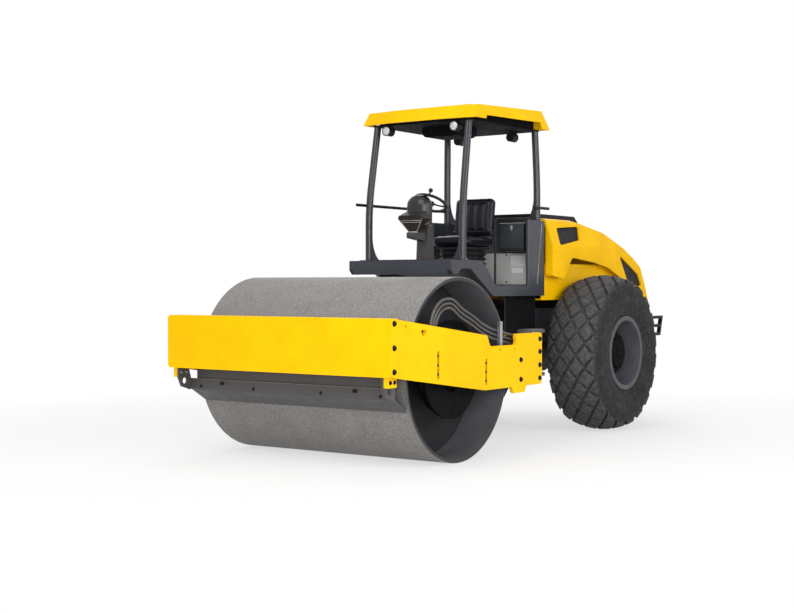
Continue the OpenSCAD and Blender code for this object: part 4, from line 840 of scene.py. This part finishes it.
def make_pad(name, node, axes, half, channels, seams, back):
    """A pad with sewn channels along it and seams across it.

    The axes are its width, length and thickness.
    """
    nx, ny, nz = PAD_COUNTS
    bm = bmesh.new()
    skin = rounded_skin(bm, half, (PAD_ROUND, PAD_ROUND, min(PAD_EDGE, half[2])), PAD_COUNTS)
    bm.verts.index_update()
    rows = [round((c / half[0] + 1) / 2 * nx) for c in channels]
    seams = [round(a * ny) for a in seams]
    sewn = []
    for (i, j, k), v in skin.items():
        top = k == nz
        channel = top and i in rows and seams[0] <= j <= seams[-1]
        seam = top and j in seams and rows[0] <= i <= rows[-1]
        edge = top and (i in (0, nx) or j in (0, ny))
        if channel or seam:
            v.co.z -= SEAM_DEPTH
        if channel or seam or edge or k == 0:
            sewn.append(v.index)
        if top:
            u, w = i / nx * 2 - 1, j / ny * 2 - 1
            v.co.z += PAD_CROWN * (1 - u * u) * (1 - w * w)
    width, length, thick = (Vector(a).normalized() for a in axes)
    low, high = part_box(node)
    centre = (low + high) / 2 - thick * back
    for v in bm.verts:
        v.co = centre + width * v.co.x + length * v.co.y + thick * v.co.z
    rim = ([(i, 0) for i in range(nx)] + [(nx, j) for j in range(ny)]
           + [(i, ny) for i in range(nx, 0, -1)] + [(0, j) for j in range(ny, 0, -1)])
    line = [skin[(i, j, nz)].co.copy() for i, j in rim]

    def finish(obj):
        swell(obj, sewn)
        smooth = obj.modifiers.new("smooth", "SUBSURF")
        smooth.levels = smooth.render_levels = 1

    pad = piece(name, bm, REAR, "vinyl", smooth=70, finish=finish)
    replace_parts(pad, node)
    piping = bmesh.new()
    tube(piping, line, PIPING_R, 8, loop=True)
    piece(name + "_piping", piping, REAR, "vinyl", smooth=70)


def make_bellows():
    """The folded cover under the seat, between two plates."""
    low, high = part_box("seat_base")
    centre = (low + high) / 2
    half_x, half_y = high.x - centre.x, high.y - centre.y
    bm = bmesh.new()
    rings = []
    for i in range(2 * BELLOWS_FOLDS + 1):
        z = low.z + BELLOWS_END + (high.z - low.z - 2 * BELLOWS_END) * i / (2 * BELLOWS_FOLDS)
        inset = BELLOWS_IN if i % 2 else BELLOWS_OUT
        ring = []
        for t in turns(BELLOWS_STEPS, 0.5):
            c, s = math.cos(t), math.sin(t)
            reach = (abs(c) ** BELLOWS_POWER + abs(s) ** BELLOWS_POWER) ** (-1 / BELLOWS_POWER)
            ring.append((centre.x + (half_x - inset) * c * reach,
                         centre.y + (half_y - inset) * s * reach, z))
        rings.append(ring)
    ring_skin(bm, rings)
    bevelled_box(bm, low, (high.x, high.y, low.z + SEAT_PLATE_T), SEAT_PLATE_BEVEL)
    bevelled_box(bm, (low.x, low.y, high.z - SEAT_PLATE_T), high, SEAT_PLATE_BEVEL)
    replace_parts(piece("seat_bellows", bm, REAR, "black_plastic", smooth=50), "seat_base")


def make_seat():
    make_pad("seat_cushion_pad", "seat_cushion", (LEFTWARD, FORWARD, UPWARD), *CUSHION)
    c, s = math.cos(BACK_LEAN), math.sin(BACK_LEAN)
    make_pad("seat_backrest_pad", "seat_backrest", (LEFTWARD, (-s, 0, c), (c, 0, s)), *BACKREST)
    make_bellows()
    x, z = SEAT_HINGE
    for side, name in ((1, "seat_hinge_covers"), (-1, "seat_hinge_covers_right")):
        turned(name, (x, side * SEAT_HINGE_Y, z), (0, side, 0), HINGE_COVER, REAR,
               "black_plastic")


make_seat()


# Controls

WHEEL_AT, WHEEL_TILT = Vector((0.68, 0, 2.185)), math.radians(28)
RING_R, RING_T, RING_STEPS, RING_SIDES, GRIP_DENT = 0.150, 0.014, 72, 14, 0.0014
SPOKE_FROM, SPOKE_STEPS, SPOKE_SAG, SPOKE_R, SPOKE_WAIST = 0.02, 6, 0.006, 0.011, 0.004
COLUMN_DOWN = 0.205
COLUMN = [(0, 0.026), (0.12, 0.026), (0.15, 0.022), (0.19, 0.022), (0.192, 0.04),
          (0.207, 0.044), (0.214, 0.04), (0.217, 0.02)]
KNOB_TURN = math.radians(28)
KNOB = [(0, 0.009), (0.034, 0.0075), (0.036, 0.012), (0.042, 0.0185), (0.052, 0.0205),
        (0.062, 0.0185), (0.069, 0.012), (0.072, 0.003)]


def make_steering_wheel():
    c, s = math.cos(WHEEL_TILT), math.sin(WHEEL_TILT)
    along, side, axis = Vector((c, 0, s)), Vector(LEFTWARD), Vector((-s, 0, c))

    def at(r, turn, up=0.0):
        return WHEEL_AT + along * r * math.cos(turn) + side * r * math.sin(turn) + axis * up

    bm = bmesh.new()
    rings = []
    for i, t in enumerate(turns(RING_STEPS)):
        grip = RING_T - (GRIP_DENT if i % 3 == 0 else 0)
        rings.append([at(RING_R + grip * math.cos(a), t, grip * math.sin(a))
                      for a in turns(RING_SIDES)])
    ring_skin(bm, rings, loop=True)
    waves = [math.sin(math.pi * k / SPOKE_STEPS) for k in range(SPOKE_STEPS + 1)]
    for t in turns(3):
        line = [at(SPOKE_FROM + (RING_R - SPOKE_FROM) * k / SPOKE_STEPS, t, -SPOKE_SAG * wave)
                for k, wave in enumerate(waves)]
        tube(bm, line, lambda i: SPOKE_R - SPOKE_WAIST * waves[i], 10)
    lathe(bm, WHEEL_AT - axis * COLUMN_DOWN, axis, COLUMN, 32)
    lathe(bm, at(RING_R, KNOB_TURN), axis, KNOB, 24)
    wheel = piece("steering_wheel_smooth", bm, REAR, "black_plastic", smooth=50)
    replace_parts(wheel, "steering_wheel")


def cut(bm, point, normal):
    """Cuts a closed mesh by a plane and keeps the side away from the normal."""
    geometry = bm.verts[:] + bm.edges[:] + bm.faces[:]
    made = bmesh.ops.bisect_plane(bm, geom=geometry, plane_co=point, plane_no=normal,
                                  clear_outer=True)
    edges = [e for e in made["geom_cut"] if isinstance(e, bmesh.types.BMEdge)]
    bmesh.ops.contextual_create(bm, geom=edges)


DASH_LOW, DASH_HIGH = Vector((0.77, -0.125, 1.976)), Vector((0.93, 0.125, 2.250))
DASH_ROUND, DASH_COUNTS = (0.078, 0.112, 0.098), (22, 30, 28)
# Gauges on the dash as place and radius, and their bezel by shares of the radius
GAUGES = [((0.776, -0.062, 2.135), 0.026), ((0.776, 0.062, 2.135), 0.026),
          ((0.788, 0.0, 2.185), 0.018)]
GAUGE_RIM = [(0, 1), (0.008, 1), (0.010, 0.9), (0.007, 0.82)]
# The visor from the side as (x, z), and its edge from the front as (y, z)
VISOR = [(0.87, 1.969), (0.952, 1.909), (1.012, 2.057), (0.87, 2.117)]
VISOR_EDGE = [(0.045, 1.909), (0.135, 2.030), (0.095, 2.117)]
VISOR_BEVEL, PALE_LINE_R, PALE_LINE_LIFT = 0.005, 0.0028, 0.001
# Pale lines on the visor's front as pairs of (y, z): two across its middle, a pale bar, and three
# along its lower edges, painted highlights
VISOR_HIGHLIGHTS_AND_BAR = [((-0.108, 2.012), (0.116, 2.012)), ((-0.112, 1.996), (0.108, 1.996)),
              ((-0.127, 2.024), (-0.044, 1.914)), ((0.127, 2.024), (0.044, 1.914)),
              ((-0.044, 1.914), (0.044, 1.914))]


def on_visor(y, z):
    """A point on the visor's lower front face."""
    (x0, z0), (x1, z1) = VISOR[1], VISOR[2]
    return Vector((x0 + (x1 - x0) * (z - z0) / (z1 - z0) + PALE_LINE_LIFT, y, z))


def make_dash():
    bm = bmesh.new()
    rounded_skin(bm, (DASH_HIGH - DASH_LOW) / 2, DASH_ROUND, DASH_COUNTS, flat_below=True)
    for v in bm.verts:
        v.co += (DASH_LOW + DASH_HIGH) / 2
    for at, r in GAUGES:
        lathe(bm, at, (-1, 0, 0), [(along, r * share) for along, share in GAUGE_RIM], 28)
    housing = piece("dash_housing", bm, REAR, "black_plastic", smooth=50, look="dash_skin")
    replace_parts(housing, "dashboard")
    bm = bmesh.new()
    wide = VISOR_EDGE[1][0]
    ring_skin(bm, [[(x, y, z) for x, z in VISOR] for y in (-wide, wide)])
    for side in (-1, 1):
        for (y0, z0), (y1, z1) in zip(VISOR_EDGE, VISOR_EDGE[1:]):
            cut(bm, (0, side * y0, z0), (0, side * (z1 - z0), -(y1 - y0)))
    bmesh.ops.bevel(bm, geom=bm.edges[:], offset=VISOR_BEVEL, segments=2, affect="EDGES")
    piece("dash_visor", bm, REAR, "black_plastic", look="brown_visor")
    # The visor's pale lines: painted highlights along its edges, and a pale bar across it
    rods("visor_highlights_and_bar", [[on_visor(*a), on_visor(*b)] for a, b in VISOR_HIGHLIGHTS_AND_BAR], PALE_LINE_R, REAR,
         "black_plastic", "pale_trim", 8)


make_steering_wheel()
make_dash()


# Roof posts: the solid's bent tubes and webs, drawn smooth

POST_R, POST_Y, POST_TOP_Y, POST_BEND = 0.033, 0.515, 0.500, 0.200
POST_STEPS, POST_HEAD = 40, 0.014
# Each pair's foot and head in x, and the foot and the bend in z
POSTS = [(0.926, 0.807, FLOOR_Z, 2.160), (-0.390, -0.373, 2.045, 2.400)]
POST_WELD = [(0, 0.012), (0.004, 0.012), (0.012, 0.003), (0.016, -0.001)]
POST_WELD_SINK = 0.001
WEB_W, WEB_H, WEB_T, WEB_STEPS = 0.115, 0.250, 0.014, 16


def make_post(bm, side, foot, head, foot_z, bend_z):
    base, bend = Vector((foot, side * POST_Y, foot_z)), Vector((foot, side * POST_Y, bend_z))
    top = Vector((head, side * POST_TOP_Y, ROOF_Z - POST_HEAD))
    arc = bent(bend - Vector((0, 0, POST_BEND)), bend,
               bend + (top - bend).normalized() * POST_BEND, 12)
    ring_skin(bm, [[p + POST_R * Vector((math.cos(a), math.sin(a), 0)) for a in turns(POST_STEPS)]
                   for p in [base] + arc + [top]])
    lathe(bm, base - Vector((0, 0, POST_WELD_SINK)), UPWARD,
          [(along, POST_R + out) for along, out in POST_WELD], POST_STEPS)
    curve = [(0, 0), (0, WEB_H)]
    for k in range(WEB_STEPS + 1):
        t = math.pi / 2 * k / WEB_STEPS
        curve.append((-WEB_W * (1 - math.cos(t)) - POST_R / 2, WEB_H * (1 - math.sin(t))))
    outline = [(POST_Y - POST_R / 2 + y, foot_z + z) for y, z in curve]
    ring_skin(bm, [[Vector((foot + x, side * y, z)) for y, z in outline]
                   for x in (-WEB_T / 2, WEB_T / 2)])


def make_posts():
    bm = bmesh.new()
    for side in (-1, 1):
        for row in POSTS:
            make_post(bm, side, *row)
    posts = piece("roof_posts_smooth", bm, REAR, "dark_paint", smooth=40, look="glossy_dark")
    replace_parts(posts, "roof_posts")


make_posts()


# Lamps

# Each pair's x, distance from the middle and facing
LAMPS, LAMP_Z, LAMP_STEPS = [(0.854, 0.372, 1), (-0.326, 0.30, -1)], 2.853, 36
BEZEL = [(-0.012, 0.0445), (0.003, 0.0455), (0.006, 0.043), (0.003, 0.039), (-0.004, 0.039)]
LENS = [(0.0005, 0.0395), (0.003, 0.036), (0.007, 0.024), (0.009, 0.010), (0.0092, 0.001)]


def make_lamps():
    bezel, lens = bmesh.new(), bmesh.new()
    for x, out, facing in LAMPS:
        for y in (-out, out):
            lathe(bezel, (x, y, LAMP_Z), (facing, 0, 0), BEZEL, LAMP_STEPS)
            lathe(lens, (x, y, LAMP_Z), (facing, 0, 0), LENS, LAMP_STEPS)
    piece("roof_lamp_bezels", bezel, REAR, "black_paint")
    piece("roof_lamp_lenses", lens, REAR, "black_paint", smooth=60, look="lamp_lens")


make_lamps()


# Station: wall, box, floor and edges

# Ranges in x of the wall's lower panel, its blank plates and the side box's trim and lid
PANEL_X, BLANK_X, TRIM_X, LID_X = ((-0.4362, -0.4325), (-0.4335, -0.4300), (-0.4362, -0.2215),
                                   (-0.4362, -0.2225))
SCREWS_Y, SCREWS_Z, SCREW_R = (-0.43, -0.15, 0.15, 0.436), (1.46, 1.725), 0.007
# The side panels' rounded front and top edges, and a pale line on their outer face: a painted
# highlight
EDGE_X, EDGE_Z, EDGE_Y, EDGE_R = -0.166, (1.436, 1.74, 2.043), 0.5465, 0.0092
EDGE_TOP_X = (-0.43, -0.30, EDGE_X)
GAP_HIGHLIGHT, GAP_HIGHLIGHT_Y, GAP_HIGHLIGHT_R = [(-0.414, 2.024), (-0.37, 1.735), (-0.327, 1.445)], 0.5553, 0.0026
# The floor mat and its ribs
FLOOR_MAT = slab((0.69, 1.10), (-0.50, 0.50), (1.6515, 1.657))
RIB_X, RIB_Z, RIB_Y, RIB_W, RIB_STEP = (0.70, 1.09), (1.656, 1.6605), -0.49, 0.015, 0.05
RIBS = [RIB_Y + RIB_STEP * k for k in range(20)]
# Bars on the two entry steps
STEPS_Z, TREAD_Y, TREAD_W = (0.6, 1.01), (0.478, 0.622), 0.014
TREADS_X = (-0.33, -0.285, -0.24, -0.195, -0.15, -0.118)
TREAD_SINK, TREAD_RISE = 0.002, 0.006
# Black sheets on the step plates, a painted shadow where the plates lie in shade
SHADE_SHEET_X, SHADE_SHEET_Z, SHADE_SHEET_Y, SHADE_SHEET_HALF = (-0.431, 0.117), (0.572, 1.414), 0.4705, 0.0012
# Weld seams on the platform
WELD_X, WELDS_Y, WELD_Z, WELD_R = 1.1755, (-0.25, 0.54), (1.550, 1.60, 1.650), 0.003

# The wall's lower panel: pale with dust, and paler still as painted light
boxes("wall_lower_panel", [slab(PANEL_X, (-0.452, 0.458), (1.437, 1.742))], REAR, "dark_paint",
      0.0012, "dusty_panel")
boxes("blank_plates", [slab(BLANK_X, (0.200, 0.358), (1.615, 1.719)),
                       slab(BLANK_X, (0.208, 0.336), (1.549, 1.602))],
      REAR, "grey_steel", 0.0010, "white_plate")
bolts("wall_panel_screws", [(PANEL_X[1], y, z) for y in SCREWS_Y for z in SCREWS_Z], FORWARD,
      SCREW_R, REAR, "black_paint")
boxes("side_box_trim", [slab(TRIM_X, (0.1925, 0.4645), (1.7525, 1.786))], REAR,
      "black_plastic", 0.008)
boxes("side_box_lid", [slab(LID_X, (0.1935, 0.4645), (1.990, 2.0275))], REAR,
      "dark_paint", 0.006)
boxes("side_box_latch", [slab((-0.228, -0.2165), (0.318, 0.342), (1.955, 2.000))], REAR,
      "grey_steel", 0.003)
for side, name in SIDES:
    rods(f"side_panel_edges_{name}",
         [[(EDGE_X, side * EDGE_Y, z) for z in EDGE_Z],
          [(x, side * EDGE_Y, EDGE_Z[-1]) for x in EDGE_TOP_X]], EDGE_R, REAR, "dark_paint")
    # A pale line on the outer face: the painted highlight of a door gap
    rods(f"side_panel_gap_highlight_{name}", [[(x, side * GAP_HIGHLIGHT_Y, z) for x, z in GAP_HIGHLIGHT]], GAP_HIGHLIGHT_R, REAR,
         "dark_paint", "pale_trim", 8)
boxes("bulkhead_seal", [slab((-0.462, -0.440), (-0.47, 0.47), (2.043, 2.089))], REAR,
      "rubber", 0.006)
boxes("floor_mat", [FLOOR_MAT] + [slab(RIB_X, (y, y + RIB_W), RIB_Z) for y in RIBS], REAR,
      "rubber", 0.0015)
boxes("step_treads", [slab((x, x + TREAD_W), TREAD_Y, (z - TREAD_SINK, z + TREAD_RISE))
                      for z in STEPS_Z for x in TREADS_X], REAR, "grey_steel", 0.002)
# Painted shadow: a black sheet on each step plate
boxes("step_plate_shade_sheet", [slab(SHADE_SHEET_X, (y - SHADE_SHEET_HALF, y + SHADE_SHEET_HALF), SHADE_SHEET_Z)
                              for y in (-SHADE_SHEET_Y, SHADE_SHEET_Y)],
      REAR, "black_paint", 0.0008, "deep_black")
rods("platform_weld_seams", [[(WELD_X, y, z) for z in WELD_Z] for y in WELDS_Y], WELD_R, REAR,
     "dark_paint")


# Front frame: bolts, drum edges and scraper

# Columns of bolts through the side plates, as the distance ahead of the drum and the heights
PLATE_BOLTS = [(1.01, (1.147, 0.965, 0.787)), (-1.165, (0.964, 0.854, 0.739, 0.624)),
               (-0.840, (0.797, 0.630))]
PLATE_BOLT_R = 0.017
# Bolts in the side plates' slots: middles as (x, z), their spacing, shank and head
CARRIER_SLOTS, SLOT_BOLT_STEP = [(2.262, 0.811), (1.556, 0.722)], 0.072
SLOT_SHANK, SLOT_HEAD_OUT, SLOT_HEAD_R = [(-0.002, 0.008), (0.026, 0.008)], 0.022, 0.0118
LUG_Y, LUG_BOLTS_X, LUG_BOLT_R = 1.105, (2.784, 2.838), 0.013
ARM_Y, ARM_BOLTS_X, ARM_BOLT_R, LUG_Z = 1.045, (2.775, 2.838), 0.011, 0.705
DRUM_EDGE = [(-0.006, 0.7503), (0.0004, 0.7498), (0.0014, 0.7487), (0.0014, 0.7455),
             (-0.002, 0.7445)]
TABS_Y, TAB_X, TAB_Z, TAB_HALF = (-0.69, 0.69), (2.716, 2.738), (0.606, 0.632), 0.016
SCRAPER_BOLTS = [(2.722, y, 0.588) for y in (-0.93, -0.35, 0.35, 0.93)]
SCRAPER_EDGE = [(2.7205, y, 0.6475) for y in (-1.043, -0.5, 0.5, 1.043)]
SCRAPER_BOLT_R, SCRAPER_EDGE_R = 0.010, 0.0035
# A black plate that darkens the crossmember's front behind the hoses: how far it is sunk, stands
# out and stays off the edges
DARK_PLATE_Y, DARK_PLATE_SINK, DARK_PLATE_OUT, DARK_PLATE_IN = (0.30, 1.118), 0.001, 0.004, 0.012
CLAMP_BOLTS, CLAMP_BOLT_R = [(1.291, 1.132, z) for z in (0.945, 1.112)], 0.010

for side, name in SIDES:
    out = (0, side, 0)
    bolts(f"side_plate_bolts_{name}",
          [(DRUM_X + x, side * PLATE_Y, z) for x, column in PLATE_BOLTS for z in column], out,
          PLATE_BOLT_R, FRONT, "black_paint")
    bm = bmesh.new()
    for x, z in CARRIER_SLOTS:
        for k in (-1, 0, 1):
            at = Vector((x, side * PLATE_IN_Y, z + k * SLOT_BOLT_STEP))
            lathe(bm, at, out, SLOT_SHANK, 14)
            hex_bolt(bm, at + Vector(out) * SLOT_HEAD_OUT, out, SLOT_HEAD_R, washer=False)
    piece(f"carrier_bolts_{name}", bm, FRONT, "black_paint", smooth=25)
    bolts(f"lug_bolts_{name}", [(x, side * LUG_Y, LUG_Z) for x in LUG_BOLTS_X], out, LUG_BOLT_R,
          FRONT, "black_paint")
    bolts(f"arm_bolts_{name}", [(x, side * ARM_Y, LUG_Z) for x in ARM_BOLTS_X], (0, -side, 0),
          ARM_BOLT_R, FRONT, "grey_steel")
    bm = bmesh.new()
    lathe(bm, (DRUM_X, side * DRUM_HALF, DRUM_Z), out, DRUM_EDGE, 128, cap=False)
    piece(f"drum_edge_{name}", bm, "drum", "worn_steel", look="bright_edge")
boxes("scraper_tabs", [slab(TAB_X, (y - TAB_HALF, y + TAB_HALF), TAB_Z) for y in TABS_Y], FRONT,
      "black_paint", 0.004)
bolts("scraper_bolts", SCRAPER_BOLTS, FORWARD, SCRAPER_BOLT_R, FRONT, "black_paint")
rods("scraper_top_edge", [SCRAPER_EDGE], SCRAPER_EDGE_R, FRONT, "worn_steel", "bright_edge", 8)
low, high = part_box("rear_crossmember")
boxes("crossmember_dark_plate", [slab((high.x - DARK_PLATE_SINK, high.x + DARK_PLATE_OUT), DARK_PLATE_Y,
                          (low.z + DARK_PLATE_IN, high.z - DARK_PLATE_IN))],
      FRONT, "black_paint", 0.0015)
bolts("hose_clamp_bolts", CLAMP_BOLTS, LEFTWARD, CLAMP_BOLT_R, FRONT, "grey_steel")


# Wheels: nuts on the dish, hub cover with its bolts, and valve

NUTS, NUT_RING_R, NUT_R = 10, 0.245, 0.017
STUD, STUD_OUT = [(0, 0.010), (0.016, 0.010), (0.018, 0.0085)], 0.012
COVER_BOLTS, COVER_RING_R, COVER_BOLT_R, COVER_Y = 12, 0.172, 0.009, 0.9728
HUB_COVER = [(-0.002, 0.205), (0.165, 0.205), (0.178, 0.2), (0.186, 0.19), (0.190, 0.188),
             (0.190, 0.152), (0.212, 0.146), (0.216, 0.138), (0.216, 0.05), (0.224, 0.046),
             (0.226, 0.012)]
VALVE = [(0, 0.008), (0.05, 0.006), (0.052, 0.0075), (0.068, 0.0075), (0.07, 0.005)]
VALVE_X, VALVE_Z, VALVE_Y = 0.296, 0.03, 0.782

for side, name in SIDES:
    body = f"wheel_{name}"
    out = (0, side, 0)
    bm = bmesh.new()
    for t in turns(NUTS):
        at = round_axle(NUT_RING_R, t, side * DISH_Y)
        hex_bolt(bm, at, out, NUT_R)
        lathe(bm, at + Vector(out) * STUD_OUT, out, STUD, 12)
    for t in turns(COVER_BOLTS, 0.5):
        hex_bolt(bm, round_axle(COVER_RING_R, t, side * COVER_Y), out, COVER_BOLT_R)
    piece(f"wheel_nuts_{name}", bm, body, "black_paint", smooth=25)
    turned(f"hub_cover_{name}", (AXLE_X, side * DISH_Y, AXLE_Z), out, HUB_COVER, body,
           "black_paint", 64, "deep_black")
    turned(f"valve_{name}", (AXLE_X + VALVE_X, side * VALVE_Y, AXLE_Z + VALVE_Z), out, VALVE,
           body, "black_plastic", 14)


# End of the script

bpy.context.view_layer.update()
low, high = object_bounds()
